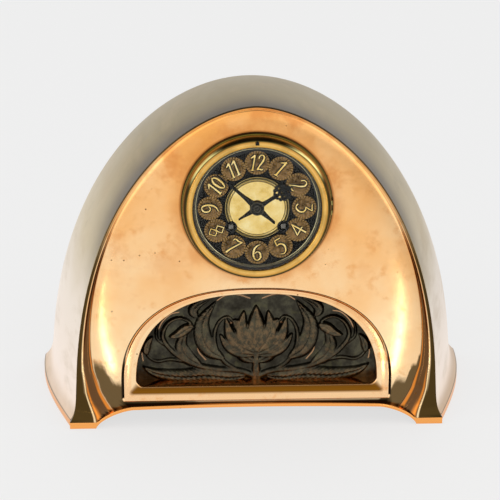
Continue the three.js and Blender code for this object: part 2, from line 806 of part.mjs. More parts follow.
function crossings([x, z], outer, inner, count) {
  return Array.from({ length: count }, (_, i) => {
    const [start, end] = [(i + 0.12) * (tau / count), (i + 0.88) * (tau / count)];
    const at = (radius, angle) => [x + radius * Math.cos(angle), z + radius * Math.sin(angle)];
    const middle = (start + end) / 2;
    const [nearEnd, nearStart] = [at(inner, middle + 0.3), at(inner, middle - 0.3)];
    return [at(outer, start), at(outer, middle), at(outer, end), nearEnd, nearStart];
  });
}

// A pinion has slim leaves, one of which faces the given angle.
function pinionShape([x, z], leaves, module, leafAngle, bore) {
  const pitch = (module * leaves) / 2;
  const [tip, root] = [pitch + 0.85 * module, pitch - 1.25 * module];
  const step = tau / leaves;
  const outline = [];
  for (let i = 0; i < leaves; i++) {
    const middle = leafAngle + i * step;
    for (const [radius, turn] of [[root, -0.27], [tip, 0], [root, 0.27]]) {
      const angle = middle + turn * step;
      outline.push([x + radius * Math.cos(angle), z + radius * Math.sin(angle)]);
    }
  }
  const shape = shapeOf(outline);
  return bore ? pierce(shape, circlePoints(x, z, bore, 10)) : shape;
}

const angleTo = ([x1, z1], [x2, z2]) => Math.atan2(z2 - z1, x2 - x1);
const meshDistance = (teeth, leaves, module) => ((teeth + leaves) * module) / 2;
const beside = ([x, z], distance, angle) => {
  return [x + distance * Math.cos(angle * deg), z + distance * Math.sin(angle * deg)];
};

// The point at two given distances from two others, on the left of the line from the first to the second.
function meetingPoint(a, fromA, b, fromB, side) {
  const gap = Math.hypot(b[0] - a[0], b[1] - a[1]);
  const along = (fromA ** 2 - fromB ** 2 + gap ** 2) / (2 * gap);
  const off = Math.sqrt(fromA ** 2 - along ** 2) * side;
  const [ux, uz] = [(b[0] - a[0]) / gap, (b[1] - a[1]) / gap];
  return [a[0] + along * ux - off * uz, a[1] + along * uz + off * ux];
}

const centreSpot = [0, dialHeight];
const middleSpot = meetingPoint(
  windingSpots.going,
  meshDistance(greatTeeth, greatPinion, greatModule),
  centreSpot,
  meshDistance(middleTeeth, centrePinion, middleModule),
  -1,
);
const thirdSpot = beside(centreSpot, meshDistance(centreTeeth, thirdPinion, centreModule), 110);
const escapeDistance = meshDistance(thirdTeeth, escapePinion, thirdModule);
const escapeSpot = [0, thirdSpot[1] + Math.sqrt(escapeDistance ** 2 - thirdSpot[0] ** 2)];
const anchorSpot = [0, escapeSpot[1] + anchorRise];
const strikeSpot = beside(windingSpots.strike, meshDistance(greatTeeth, greatPinion, greatModule), 99);
const pinSpot = beside(strikeSpot, meshDistance(strikeTeeth, pinPinion, strikeModule), 112);
const flySpot = beside(pinSpot, meshDistance(pinTeeth, flyPinion, pinModule), 58);
const minuteSpot = beside(centreSpot, meshDistance(minuteTeeth, cannonLeaves, motionModule), -90);
const hammerSpot = [-plateHalfWidth + 4, dialHeight - 2];
const hourModule = (2 * meshDistance(minuteTeeth, cannonLeaves, motionModule)) / (hourTeeth + minutePinion);

// Depths of the wheels between the plates
const innerFront = plateFront + plateThickness + seat;
const innerBack = rearPlateFront - seat;
const greatDepth = plateFront + plateThickness + 2;
const drumBack = greatDepth + wheelThickness + drumLength;
const middleDepth = drumBack + 3;
const centreDepth = middleDepth + 5;
const thirdDepth = drumBack - 3;
const escapeDepth = centreDepth - 3;
const pinionLap = 0.5; // a pinion is this much longer than its wheel at each end

function pinionAt(spot, leaves, module, toward, depth, bore) {
  const shape = pinionShape(spot, leaves, module, angleTo(spot, toward), bore);
  return slab(shape, depth - pinionLap, depth + wheelThickness + pinionLap);
}

function wheelAt(spot, teeth, module, toward, depth, bore, spokes) {
  const shape = wheelShape(spot, teeth, module, angleTo(spot, toward), bore, spokes);
  return slab(shape, depth, depth + wheelThickness);
}

function arborBetweenPlates([x, z], radius = arborRadius) {
  return rod(x, z, radius, innerFront, innerBack, 8);
}

function barrel(spot, toward) {
  const wheel = wheelAt(spot, greatTeeth, greatModule, toward, greatDepth, 0, 0);
  const drum = rod(...spot, drumRadius, greatDepth + wheelThickness - 0.2, drumBack, 20);
  return cut(fuse(wheel, drum), rod(...spot, windingRadius + seat, 0, 80, 10));
}

function windingArbor(spot) {
  const [x, z] = spot;
  const square = new THREE.BoxGeometry(windingSquare, 14, windingSquare);
  const squareFront = proud(dialProud + 1);
  square.translate(x, squareFront + 7, z);
  const shaft = rod(x, z, windingRadius, squareFront + 12, innerBack, 10);
  const ratchet = [];
  for (let i = 0; i < ratchetTeeth; i++) {
    const angle = (i * tau) / ratchetTeeth;
    ratchet.push([x + ratchetRadius * Math.cos(angle), z + ratchetRadius * Math.sin(angle)]);
    const foot = angle + (0.15 * tau) / ratchetTeeth;
    ratchet.push([x + (ratchetRadius - 1.2) * Math.cos(foot), z + (ratchetRadius - 1.2) * Math.sin(foot)]);
  }
  return fuse(square, shaft, slab(shapeOf(ratchet), plateFront - seat - wheelThickness, plateFront - seat));
}

// The click drops behind a ratchet tooth; outside the ratchet its pivot stands on the front plate.
function clickPivot([x, z], side) {
  return [x + side * (ratchetRadius + 5), z - 7];
}

function click(spot, side) {
  const pivot = clickPivot(spot, side);
  const tipAngle = angleTo(spot, [spot[0] + side * 8.6, spot[1] + 1.5]);
  const tip = beside(spot, ratchetRadius + 0.4, tipAngle / deg);
  const arm = shapeOf([
    [pivot[0] - side * 2, pivot[1]],
    [pivot[0] + side * 2, pivot[1]],
    [tip[0] + side * 1.8, tip[1] + 1],
    tip,
  ]);
  const front = plateFront - seat - wheelThickness;
  return fuse(slab(arm, front, plateFront - seat), rod(...pivot, 2.6, front - 0.8, plateFront - seat, 14));
}

function centreWheel() {
  return fuse(
    wheelAt(centreSpot, centreTeeth, centreModule, thirdSpot, centreDepth),
    pinionAt(centreSpot, centrePinion, middleModule, middleSpot, middleDepth),
    rod(...centreSpot, arborRadius, proud(minuteHandHeight + handThickness), innerBack, 10),
  );
}

function middleWheel() {
  return fuse(
    wheelAt(middleSpot, middleTeeth, middleModule, centreSpot, middleDepth),
    pinionAt(middleSpot, greatPinion, greatModule, windingSpots.going, greatDepth),
    arborBetweenPlates(middleSpot, 1.8),
  );
}

function thirdWheel() {
  return fuse(
    wheelAt(thirdSpot, thirdTeeth, thirdModule, escapeSpot, thirdDepth),
    pinionAt(thirdSpot, thirdPinion, centreModule, centreSpot, centreDepth),
    arborBetweenPlates(thirdSpot, 0.9),
  );
}

function escapeWheel() {
  const outline = [];
  for (let i = 0; i < escapeTeeth; i++) {
    const angle = (i * tau) / escapeTeeth;
    for (const [radius, turn] of [[escapeRadius, 0], [escapeRadius - 1.8, 0.25]]) {
      const at = angle + (turn * tau) / escapeTeeth;
      outline.push([escapeSpot[0] + radius * Math.cos(at), escapeSpot[1] + radius * Math.sin(at)]);
    }
  }
  const shape = pierce(shapeOf(outline), ...crossings(escapeSpot, escapeRadius - 3.4, 4, 4));
  return fuse(
    slab(shape, escapeDepth, escapeDepth + 1.2),
    pinionAt(escapeSpot, escapePinion, thirdModule, thirdSpot, thirdDepth),
    arborBetweenPlates(escapeSpot, 0.8),
  );
}

// The anchor spans ten teeth; its pallets end just clear of the tooth circle, and the crutch hangs behind.
function anchor() {
  const [x, z] = anchorSpot;
  const reach = escapeRadius + palletClearance;
  const pallet = (side) => {
    const inner = [x + side * reach * Math.sin(40 * deg), escapeSpot[1] + reach * Math.cos(40 * deg)];
    return [inner, [inner[0] + side * 2.2, inner[1] + 0.8]];
  };
  const [rightIn, rightOut] = pallet(1);
  const [leftIn, leftOut] = pallet(-1);
  const shape = shapeOf([
    rightIn,
    rightOut,
    [x + 8, z - 2],
    [x, z + 3],
    [x - 8, z - 2],
    leftOut,
    leftIn,
    [x - 6, z - 3.6],
    [x, z - 2.4],
    [x + 6, z - 3.6],
  ]);
  const crutchBack = rearPlateBack + pendulumOffset + 3;
  const arm = new THREE.BoxGeometry(2, 1.6, crutchLength);
  arm.translate(x, rearPlateBack + 4, z - crutchLength / 2);
  const foot = z - crutchLength + 1;
  const bridge = new THREE.BoxGeometry(5.6, 1.6, 2.5);
  bridge.translate(x, rearPlateBack + 4, foot);
  const fork = [1, -1].map((side) => {
    const tineFront = rearPlateBack + 3.5;
    const tine = new THREE.BoxGeometry(1.2, crutchBack - tineFront, 2.5);
    return tine.translate(x + side * (rodRadius + seat + 0.6), (crutchBack + tineFront) / 2, foot);
  });
  return fuse(
    slab(shape, escapeDepth - 0.5, escapeDepth + 1.7),
    rod(x, z, arborRadius, innerFront, rearPlateBack + 5, 10),
    arm,
    bridge,
    ...fork,
  );
}

function cannonPinion() {
  const back = plateFront - seat;
  const toward = angleTo(centreSpot, minuteSpot);
  const leaves = pinionShape(centreSpot, cannonLeaves, motionModule, toward, arborRadius + seat);
  const pipe = turned(
    closedProfile([
      [arborRadius + seat, proud(minuteHandHeight - seat)],
      [arborRadius + seat, back],
      [2, back],
      [2, proud(minuteHandHeight - seat)],
    ]),
    ...centreSpot,
    10,
  );
  return fuse(slab(leaves, back - 3, back), pipe);
}

function minuteWheel() {
  const back = plateFront - seat;
  return fuse(
    wheelAt(minuteSpot, minuteTeeth, motionModule, centreSpot, back - wheelThickness, studRadius + seat, 0),
    slab(
      pinionShape(minuteSpot, minutePinion, hourModule, angleTo(minuteSpot, centreSpot), studRadius + seat),
      back - wheelThickness - 3,
      back - wheelThickness + 0.1,
    ),
  );
}

function hourWheel() {
  const back = plateFront - seat - 3 - seat;
  const pipe = turned(
    closedProfile([
      [2 + seat, proud(hourHandHeight + handThickness)],
      [2 + seat, back],
      [hourPipeOuter, back],
      [hourPipeOuter, proud(hourHandHeight + handThickness)],
    ]),
    ...centreSpot,
    12,
  );
  const shape = wheelShape(centreSpot, hourTeeth, hourModule, angleTo(centreSpot, minuteSpot), 2 + seat, 4);
  return fuse(slab(shape, back - wheelThickness, back), pipe);
}

function strikeWheel() {
  return fuse(
    wheelAt(strikeSpot, strikeTeeth, strikeModule, pinSpot, middleDepth),
    pinionAt(strikeSpot, greatPinion, greatModule, windingSpots.strike, greatDepth),
    arborBetweenPlates(strikeSpot, 1.8),
  );
}

function pinWheel() {
  const pins = circlePoints(...pinSpot, liftingOrbit, liftingPins).map(([x, z]) => {
    return rod(x, z, 0.6, thirdDepth - 3, thirdDepth + 0.2, 4);
  });
  return fuse(
    wheelAt(pinSpot, pinTeeth, pinModule, flySpot, thirdDepth),
    pinionAt(pinSpot, pinPinion, strikeModule, strikeSpot, middleDepth),
    arborBetweenPlates(pinSpot),
    ...pins,
  );
}

function fly() {
  const vane = new THREE.BoxGeometry(15, 12, 0.8);
  vane.translate(flySpot[0], innerFront + 9, flySpot[1]);
  return fuse(
    pinionAt(flySpot, flyPinion, pinModule, pinSpot, thirdDepth),
    arborBetweenPlates(flySpot, 0.9),
    vane,
  );
}

function plateOutline() {
  const round = 8;
  const [right, top, foot] = [plateHalfWidth - round, plateTop - round, round - plateFoot];
  const corners = [[right, top], [-right, top], [-right, foot], [right, foot]];
  return corners.flatMap(([x, z], quarter) => {
    return [0, 30, 60, 90].map((turn) => beside([x, dialHeight + z], round, quarter * 90 + turn));
  });
}

function frontPlate() {
  const shape = pierce(
    shapeOf(plateOutline()),
    circlePoints(...centreSpot, arborRadius + seat, 12),
    ...Object.values(windingSpots).map((spot) => circlePoints(...spot, windingRadius + seat, 12)),
    ...cornerSpots.map((spot) => circlePoints(...spot, screwRadius + seat, 8)),
  );
  const pillars = pillarSpots.map(([x, z]) => {
    const foot = plateFront + plateThickness - 0.2;
    return rod(x, dialHeight + z, pillarRadius, foot, rearPlateFront - seat, 10);
  });
  const stud = rod(...minuteSpot, studRadius, plateFront - 5, plateFront + 0.2, 8);
  return fuse(slab(shape, plateFront, plateFront + plateThickness), ...pillars, stud);
}

function rearPlate() {
  const shape = pierce(
    shapeOf(plateOutline()),
    circlePoints(...anchorSpot, arborRadius + seat, 12),
    circlePoints(...hammerSpot, 1.5 + seat, 12),
  );
  return slab(shape, rearPlateFront, rearPlateBack);
}

// Screws through the front plate into the panel's bosses: the head bears on the plate's rear face.
function movementScrew([x, z]) {
  const head = plateFront + plateThickness + seat;
  const profile = [
    [0, plateFront],
    [screwRadius, plateFront],
    [screwRadius, head],
    [screwHead, head],
    [screwHead, head + screwHeadHeight],
    [0, head + screwHeadHeight],
  ];
  return turned(profile, x, z, 8);
}

function suspensionCock() {
  const [x, z] = anchorSpot;
  const width = 12;
  const foot = new THREE.BoxGeometry(width, 2, 8);
  foot.translate(x, rearPlateBack + seat + 1, z + 6);
  const arm = new THREE.BoxGeometry(8, pendulumOffset + 3, 3);
  arm.translate(x, rearPlateBack + seat + (pendulumOffset + 3) / 2, z + 6);
  return fuse(foot, arm);
}

const pendulumDepth = rearPlateBack + pendulumOffset;

function pendulumRod() {
  const [x, z] = anchorSpot;
  const foot = z - pendulumLength - bobRadius - 6;
  const spring = new THREE.BoxGeometry(3, 0.6, 12);
  spring.translate(x, pendulumDepth, z - 2 + 0.2);
  const length = z - 7 - foot;
  const shaft = upright(x, pendulumDepth, foot + length / 2, rodRadius, length, 10);
  return fuse(spring, shaft);
}

function pendulumBob() {
  const z = anchorSpot[1] - pendulumLength;
  const half = bobThickness / 2;
  const profile = [
    [0, -half],
    [bobRadius * 0.75, -half * 0.66],
    [bobRadius, 0],
    [bobRadius * 0.75, half * 0.66],
    [0, half],
  ].map(([radius, depth]) => [radius, pendulumDepth + depth]);
  return cut(turned(profile, 0, z, 30), upright(0, pendulumDepth, z, rodRadius + seat, 3 * bobRadius, 12));
}

function ratingNut() {
  const z = anchorSpot[1] - pendulumLength - bobRadius - 1.8;
  const bore = upright(0, pendulumDepth, z, rodRadius + seat, 10, 8);
  return cut(upright(0, pendulumDepth, z, 3 * rodRadius, 2.6, 12), bore);
}

const gongDepth = rearPlateBack + gongOffset;
const gongCentre = [0, dialHeight - gongDrop];
const gongStart = 48; // degrees, where the outer end of the coil leaves its block

// A flat spiral of round wire, built as one tube; the ends run straight for one wire width.
function gong() {
  const sides = 6;
  const steps = Math.round(24 * gongTurns);
  const radiusAt = (turn) => gongRadius - gongPitch * turn;
  const centres = [];
  for (let i = 0; i <= steps; i++) {
    const turn = (i / steps) * gongTurns;
    const angle = gongStart * deg - turn * tau;
    const radius = radiusAt(turn);
    centres.push(new THREE.Vector3(
      gongCentre[0] + radius * Math.cos(angle),
      gongDepth,
      gongCentre[1] + radius * Math.sin(angle),
    ));
  }
  const first = centres[0].clone().sub(centres[1]).setLength(gongWire).add(centres[0]);
  const last = centres.at(-1).clone().sub(centres.at(-2)).setLength(gongWire).add(centres.at(-1));
  centres.unshift(first);
  centres.push(last);
  const across = new THREE.Vector3(0, 1, 0);
  const stations = centres.map((middle, i) => {
    const before = centres[Math.max(i - 1, 0)];
    const after = centres[Math.min(i + 1, centres.length - 1)];
    const side = after.clone().sub(before).normalize().cross(across);
    return Array.from({ length: sides }, (_, j) => {
      const angle = (j * tau) / sides;
      const point = middle.clone()
        .addScaledVector(across, (gongWire / 2) * Math.cos(angle))
        .addScaledVector(side, (gongWire / 2) * Math.sin(angle));
      return point.toArray();
    });
  });
  const section = circlePoints(0, 0, 1, sides).map(([x, z]) => new THREE.Vector2(x, z));
  const cap = THREE.ShapeUtils.triangulateShape(section, []);
  console.log("gong: least gap between turns " + (gongPitch - gongWire).toFixed(2) + " mm");
  return loftLoops(stations, cap, true);
}

// The stand reaches back from the rear plate and carries the outer end of the coil.
function gongStand() {
  const angle = gongStart * deg;
  const beyond = gongWire + seat + gongBlock / 2;
  const x = gongCentre[0] + gongRadius * Math.cos(angle) - beyond * Math.sin(angle);
  const z = gongCentre[1] + gongRadius * Math.sin(angle) + beyond * Math.cos(angle);
  const top = dialHeight - plateFoot + 3;
  const foot = new THREE.BoxGeometry(gongFootWidth, 3, gongFootHeight);
  foot.translate(x, rearPlateBack + seat + 1.5, top);
  const reach = gongOffset + gongBlock / 2;
  const arm = new THREE.BoxGeometry(gongArmWidth, reach, gongFootHeight / 2);
  arm.translate(x, rearPlateBack + seat + reach / 2, top);
  const post = new THREE.BoxGeometry(gongBlock, gongBlock, gongBlock);
  post.rotateY(-angle).translate(x, gongDepth, z);
  return fuse(foot, arm, post);
}

function hammer() {
  const [x, z] = hammerSpot;
  const reach = gongDepth + 3;
  const arm = new THREE.BoxGeometry(2, 2, hammerArm);
  arm.translate(x, gongDepth, z - hammerArm / 2);
  const head = new THREE.CylinderGeometry(hammerHeadRadius, hammerHeadRadius, hammerHeadLength, 16);
  head.rotateZ(Math.PI / 2).translate(x - 3, gongDepth, z - hammerArm);
  const tail = new THREE.BoxGeometry(2, 2, hammerTail);
  tail.translate(x, innerFront + 12, z + hammerTail / 2 - 1);
  return fuse(rod(x, z, 1.5, innerFront, reach, 10), arm, head, tail);
}

function backOutline() {
  const half = halfArch(backFront, () => rebateInset + seat, false).filter(([, z]) => z > backFoot);
  return fullArch([[half[0][0], backFoot], ...half]);
}

const backScrewLevels = [30, doorHeight - 15];
const backScrewSpots = backScrewLevels.flatMap((z) => {
  const { width, height, rise, span } = archAt(backFront);
  const x = (width - 14) * (1 - (z / (height - 14)) ** rise) ** (1 / span);
  return [[x, z], [-x, z]];
});
const doorHingeX = doorRadius + 3.4;
const doorHingeDepth = hoodDepth + seat + doorHingeRadius + 0.4;

function backPlate() {
  const shape = pierce(
    shapeOf(backOutline()),
    circlePoints(0, doorHeight, doorHole, 32),
    ...backScrewSpots.map((spot) => circlePoints(...spot, screwRadius + seat, 10)),
  );
  const third = doorHingeLength / 3;
  const knuckles = [1, -1].map((side) => {
    const middle = doorHeight + side * third;
    const strap = new THREE.BoxGeometry(3, doorHingeDepth - hoodDepth + 1, third - seat);
    strap.translate(doorHingeX + 0.4, (doorHingeDepth + hoodDepth - 1) / 2, middle);
    return fuse(upright(doorHingeX, doorHingeDepth, middle, doorHingeRadius, third - seat), strap);
  });
  const bore = upright(doorHingeX, doorHingeDepth, doorHeight, doorPinRadius + seat, 2 * doorHingeLength);
  return cut(fuse(slab(shape, backFront, hoodDepth), ...knuckles), bore);
}

function backDoor() {
  const front = hoodDepth + seat;
  const shape = pierce(
    shapeOf(circlePoints(0, doorHeight, doorRadius, 32)),
    ...circlePoints(0, doorHeight, 30, 8).map((spot) => circlePoints(...spot, 6, 8)),
    circlePoints(latchX, doorHeight, latchShaft + seat, 10),
  );
  const disc = slab(shape, front, front + doorThickness);
  const length = doorHingeLength / 3 - seat;
  const knuckle = upright(doorHingeX, doorHingeDepth, doorHeight, doorHingeRadius, length);
  const tab = new THREE.BoxGeometry(6, doorThickness, length);
  tab.translate(doorHingeX - 3.4, front + doorThickness / 2, doorHeight);
  const bore = upright(doorHingeX, doorHingeDepth, doorHeight, doorPinRadius + seat, 2 * doorHingeLength);
  return cut(fuse(disc, knuckle, tab), bore);
}

function doorHingePin() {
  return upright(doorHingeX, doorHingeDepth, doorHeight, doorPinRadius, doorHingeLength);
}

// The knob turns a tongue that hooks behind the back plate; it is drawn turned open, the tongue upright.
function doorKnob() {
  const foot = doorFace + seat;
  const tongueBack = backFront - seat;
  const profile = [
    [0, tongueBack - latchThickness],
    [latchShaft, tongueBack - latchThickness],
    [latchShaft, foot],
    [knobRadius * 0.7, foot],
    [knobRadius * 0.5, foot + knobLength * 0.4],
    [knobRadius, foot + knobLength * 0.6],
    [knobRadius, foot + knobLength * 0.85],
    [knobRadius * 0.6, knobEnd],
    [0, knobEnd],
  ];
  const tongue = new THREE.BoxGeometry(5, latchThickness, latchReach);
  tongue.translate(latchX, tongueBack - latchThickness / 2, doorHeight + latchReach / 2 - latchShaft);
  return fuse(turned(profile, latchX, doorHeight, 16), tongue);
}

function backScrew([x, z]) {
  const head = hoodDepth + seat;
  const profile = [
    [0, backFront],
    [screwRadius, backFront],
    [screwRadius, head],
    [screwHead, head],
    [screwHead * 0.8, head + screwHeadHeight * 0.875],
    [0, head + screwHeadHeight],
  ];
  return turned(profile, x, z, 8);
}

const clock = new THREE.Group();
const works = new THREE.Group();
works.position.y = -middleOfDepth;
clock.add(works);

function add(name, geometry, finish) {
  const mesh = new THREE.Mesh(tidy(geometry), new THREE.MeshStandardMaterial(finishes[finish]));
  mesh.name = name;
  works.add(mesh);
}

add("hood_shell", hoodShell(), "hoodBronze");
add("front_panel", frontPanel(), "polishedBronze");
add("relief_frame", reliefFrame(), "polishedBronze");
add("relief_plaque", reliefPlaque(), "patinatedBronze");
add("back_plate", backPlate(), "clockBrass");
add("back_door", backDoor(), "clockBrass");
add("door_knob", doorKnob(), "clockBrass");
add("door_hinge_pin", doorHingePin(), "steel");
backScrewSpots.forEach((spot, i) => add("back_screw_" + (i + 1), backScrew(spot), "steel"));
add("bezel_ring", bezelRing(), "bezelBronze");
add("bezel_glass", bezelGlass(), "glass");
add("bezel_tab", bezelTab(), "bluedSteel");
add("bezel_hinge_bracket", bezelHingeBracket(), "bezelBronze");
add("bezel_hinge_pin", bezelHingePin(), "steel");
add("dial_ring", dialRing(), "bezelBronze");
add("dial_plate", dialPlate(), "blackLacquer");
add("chapter_ring", chapterRing(), "stippledBronze");
add("dial_medallion", dialMedallion(), "gilt");
add("winding_ferrule_right", windingFerrule(windingSpots.going), "bluedSteel");
add("winding_ferrule_left", windingFerrule(windingSpots.strike), "bluedSteel");
add("hour_hand", hourHand(), "bluedSteel");
add("minute_hand", minuteHand(), "bluedSteel");
add("hand_nut", handNut(), "bluedSteel");
add("front_movement_plate", frontPlate(), "clockBrass");
add("rear_movement_plate", rearPlate(), "clockBrass");
cornerSpots.forEach((spot, i) => add("movement_screw_" + (i + 1), movementScrew(spot), "steel"));
add("going_barrel", barrel(windingSpots.going, middleSpot), "clockBrass");
add("strike_barrel", barrel(windingSpots.strike, strikeSpot), "clockBrass");
add("going_winding_arbor", windingArbor(windingSpots.going), "steel");
add("strike_winding_arbor", windingArbor(windingSpots.strike), "steel");
add("going_click", click(windingSpots.going, 1), "steel");
add("strike_click", click(windingSpots.strike, -1), "steel");
add("intermediate_wheel", middleWheel(), "clockBrass");
add("centre_wheel", centreWheel(), "clockBrass");
add("third_wheel", thirdWheel(), "clockBrass");
add("escape_wheel", escapeWheel(), "clockBrass");
add("anchor", anchor(), "steel");
add("cannon_pinion", cannonPinion(), "steel");
add("minute_wheel", minuteWheel(), "clockBrass");
add("hour_wheel", hourWheel(), "clockBrass");
add("strike_second_wheel", strikeWheel(), "clockBrass");
add("pin_wheel", pinWheel(), "clockBrass");
add("fly", fly(), "clockBrass");
add("suspension_cock", suspensionCock(), "clockBrass");
add("pendulum_rod", pendulumRod(), "steel");
add("pendulum_bob", pendulumBob(), "clockBrass");
add("rating_nut", ratingNut(), "clockBrass");
add("gong", gong(), "bluedSteel");
add("gong_stand", gongStand(), "patinatedBronze");
add("hammer", hammer(), "steel");

export default clock;
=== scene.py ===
import bpy
import json
import math
import numpy as np
from mathutils import Matrix, Vector


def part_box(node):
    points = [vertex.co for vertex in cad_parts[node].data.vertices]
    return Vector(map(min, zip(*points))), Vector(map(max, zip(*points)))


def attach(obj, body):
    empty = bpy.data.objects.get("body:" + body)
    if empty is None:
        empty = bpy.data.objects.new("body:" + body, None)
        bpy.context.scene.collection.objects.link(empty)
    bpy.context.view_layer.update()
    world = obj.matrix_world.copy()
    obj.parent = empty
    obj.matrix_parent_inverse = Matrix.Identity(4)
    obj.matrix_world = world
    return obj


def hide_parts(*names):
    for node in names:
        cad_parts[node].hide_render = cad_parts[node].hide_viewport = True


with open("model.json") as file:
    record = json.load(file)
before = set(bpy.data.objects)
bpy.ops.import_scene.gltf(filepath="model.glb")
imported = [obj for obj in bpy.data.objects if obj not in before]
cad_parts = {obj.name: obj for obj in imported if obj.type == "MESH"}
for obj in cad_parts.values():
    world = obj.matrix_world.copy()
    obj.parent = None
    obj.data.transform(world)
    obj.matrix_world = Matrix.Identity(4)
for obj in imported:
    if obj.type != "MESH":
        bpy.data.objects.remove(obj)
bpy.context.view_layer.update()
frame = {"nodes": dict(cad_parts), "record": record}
scene = bpy.context.scene
print("loaded", len(frame["nodes"]), "nodes")

# All measures are in millimetres. Depth runs back from the front of the foot blocks.
middleOfDepth = 93.85
case = {
    "height": 322.4, "crownFall": 15, "halfWidth": 174.5, "spread": 33, "spreadDepth": 172,
    "depth": 186, "wall": 4, "rim": 6.5, "reachFront": 6, "reachRear": 9.5, "cove": 7.5,
    "frontRise": 2.48, "frontSpan": 1.75, "rearRise": 2.02, "rearSpan": 1.97,
    "seam": 8, "panel": 4, "panelBack": 12,
}
dialCentre = 226.5
door = {
    "drop": 21.5, "radius": 68, "thick": 2, "holeOrbit": 30, "hole": 6, "latchX": -50, "shaft": 2.1,
    "hingeX": 71.4, "hingeDepth": 188.9, "hinge": 2.2, "pin": 1.4, "knuckle": 7.7,
}


def at(x, depth, z):
    return Vector((x / 1000, (depth - middleOfDepth) / 1000, z / 1000))


def clearSelection():
    if bpy.context.object and bpy.context.object.mode != "OBJECT":
        bpy.ops.object.mode_set(mode="OBJECT")
    bpy.ops.object.select_all(action="DESELECT")


def pick(*objects):
    clearSelection()
    for one in objects:
        one.select_set(True)
    bpy.context.view_layer.objects.active = objects[0]


def editAll(*actions):  # runs mesh operators on everything in the active object
    bpy.ops.object.mode_set(mode="EDIT")
    bpy.ops.mesh.select_all(action="SELECT")
    for action in actions:
        action()
    bpy.ops.object.mode_set(mode="OBJECT")


def selectAll():
    bpy.ops.mesh.select_all(action="SELECT")


def turnOutwards():
    bpy.ops.mesh.normals_make_consistent(inside=False)


def closeUp(piece, fill=False):  # merges seams, fills open ends, turns the faces outwards
    pick(piece)
    editAll(
        lambda: bpy.ops.mesh.remove_doubles(threshold=2e-6),
        lambda: fill and bpy.ops.mesh.fill_holes(sides=0),
        selectAll, turnOutwards)


def smooth(piece, degrees=32):
    pick(piece)
    bpy.ops.object.shade_smooth_by_angle(angle=math.radians(degrees))


def settle(piece, body, slot, replaces=None, finish=None):  # its own finish, or that of the slot
    pick(piece)
    bpy.ops.object.transform_apply(location=True, rotation=True, scale=True)
    piece.data.materials.clear()
    piece.data.materials.append(finish or finishes[slot])
    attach(piece, body)
    if replaces:
        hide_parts(replaces)


def gridPiece(name, columns, rows, placeOf):  # a grid whose points go to placeOf(column, row)
    clearSelection()
    bpy.ops.mesh.primitive_grid_add(x_subdivisions=columns, y_subdivisions=rows, size=1)
    piece = bpy.context.object
    piece.name = name
    for point in piece.data.vertices:
        column = round((point.co.x + 0.5) * columns)
        row = round((point.co.y + 0.5) * rows)
        point.co = placeOf(column, row)
    return piece


def spunPiece(name, profile, centre, steps):  # profile: radius and depth, a closed loop
    clearSelection()
    bpy.ops.mesh.primitive_circle_add(vertices=len(profile), radius=0.01)
    piece = bpy.context.object
    piece.name = name
    for point, (radius, depth) in zip(piece.data.vertices, profile):
        point.co = at(centre[0] + radius, depth, centre[1])
    pick(piece)
    editAll(lambda: bpy.ops.mesh.spin(
        steps=steps, angle=math.tau, dupli=False, use_auto_merge=True,
        center=at(centre[0], 0, centre[1]), axis=(0, 1, 0)))
    closeUp(piece)
    smooth(piece)
    return piece


def platePiece(name, outlines, front, back, bevel=0.0, segments=2):  # a flat plate with holes
    clearSelection()
    data = bpy.data.curves.new(name, "CURVE")
    data.dimensions = "2D"
    data.fill_mode = "BOTH"
    data.extrude = (back - front) / 2000 - bevel / 1000
    data.bevel_depth = bevel / 1000
    data.bevel_resolution = segments
    data.offset = -bevel / 1000
    for outline in outlines:
        spline = data.splines.new("POLY")
        spline.points.add(len(outline) - 1)
        spline.use_cyclic_u = True
        for point, (x, z) in zip(spline.points, outline):
            point.co = (x / 1000, z / 1000, 0, 1)
    piece = bpy.data.objects.new(name, data)
    scene.collection.objects.link(piece)
    pick(piece)
    bpy.ops.object.convert(target="MESH")
    piece = bpy.context.object
    turn = Matrix.Rotation(math.radians(90), 4, "X")
    piece.data.transform(Matrix.Translation(at(0, (front + back) / 2, 0)) @ turn)
    closeUp(piece)
    return piece


def cylinder(place, radius, length, sides=32):  # upright
    clearSelection()
    bpy.ops.mesh.primitive_cylinder_add(
        vertices=sides, radius=radius / 1000, depth=length / 1000, location=place)
    return bpy.context.object


def circle(x, z, radius, count=48):
    turns = [math.tau * i / count for i in range(count)]
    return [(x + radius * math.cos(turn), z + radius * math.sin(turn)) for turn in turns]


def mirrored(points):  # an outline listed up its right side
    return points + [(-x, z) for x, z in reversed(points) if abs(x) > 1e-6]


def softened(points, radius):  # rounds the corners of a closed profile
    steps, rounded = 4, []
    for i, (x, y) in enumerate(points):
        here = Vector((x, y))
        before, after = Vector(points[i - 1]), Vector(points[(i + 1) % len(points)])
        reach = min(radius, (before - here).length * 0.45, (after - here).length * 0.45)
        start = here + (before - here).normalized() * reach
        end = here + (after - here).normalized() * reach
        for k in range(steps + 1):
            t = k / steps
            rounded.append(tuple(start * (1 - t) ** 2 + here * 2 * t * (1 - t) + end * t * t))
    return rounded


def modify(piece, kind, **settings):
    pick(piece)
    modifier = piece.modifiers.new("shape", kind)
    for key, value in settings.items():
        setattr(modifier, key, value)
    bpy.ops.object.modifier_apply(modifier=modifier.name)


def cutAway(piece, *tools):
    for tool in tools:
        modify(piece, "BOOLEAN", operation="DIFFERENCE", solver="EXACT", object=tool)
        bpy.data.objects.remove(tool)


def joined(name, *pieces):
    pick(*pieces)
    bpy.ops.object.join()
    bpy.context.object.name = name
    return bpy.context.object


def placesOf(piece):  # x, depth and z of each vertex
    return [(p.co.x * 1000, p.co.y * 1000 + middleOfDepth, p.co.z * 1000) for p in piece.data.vertices]


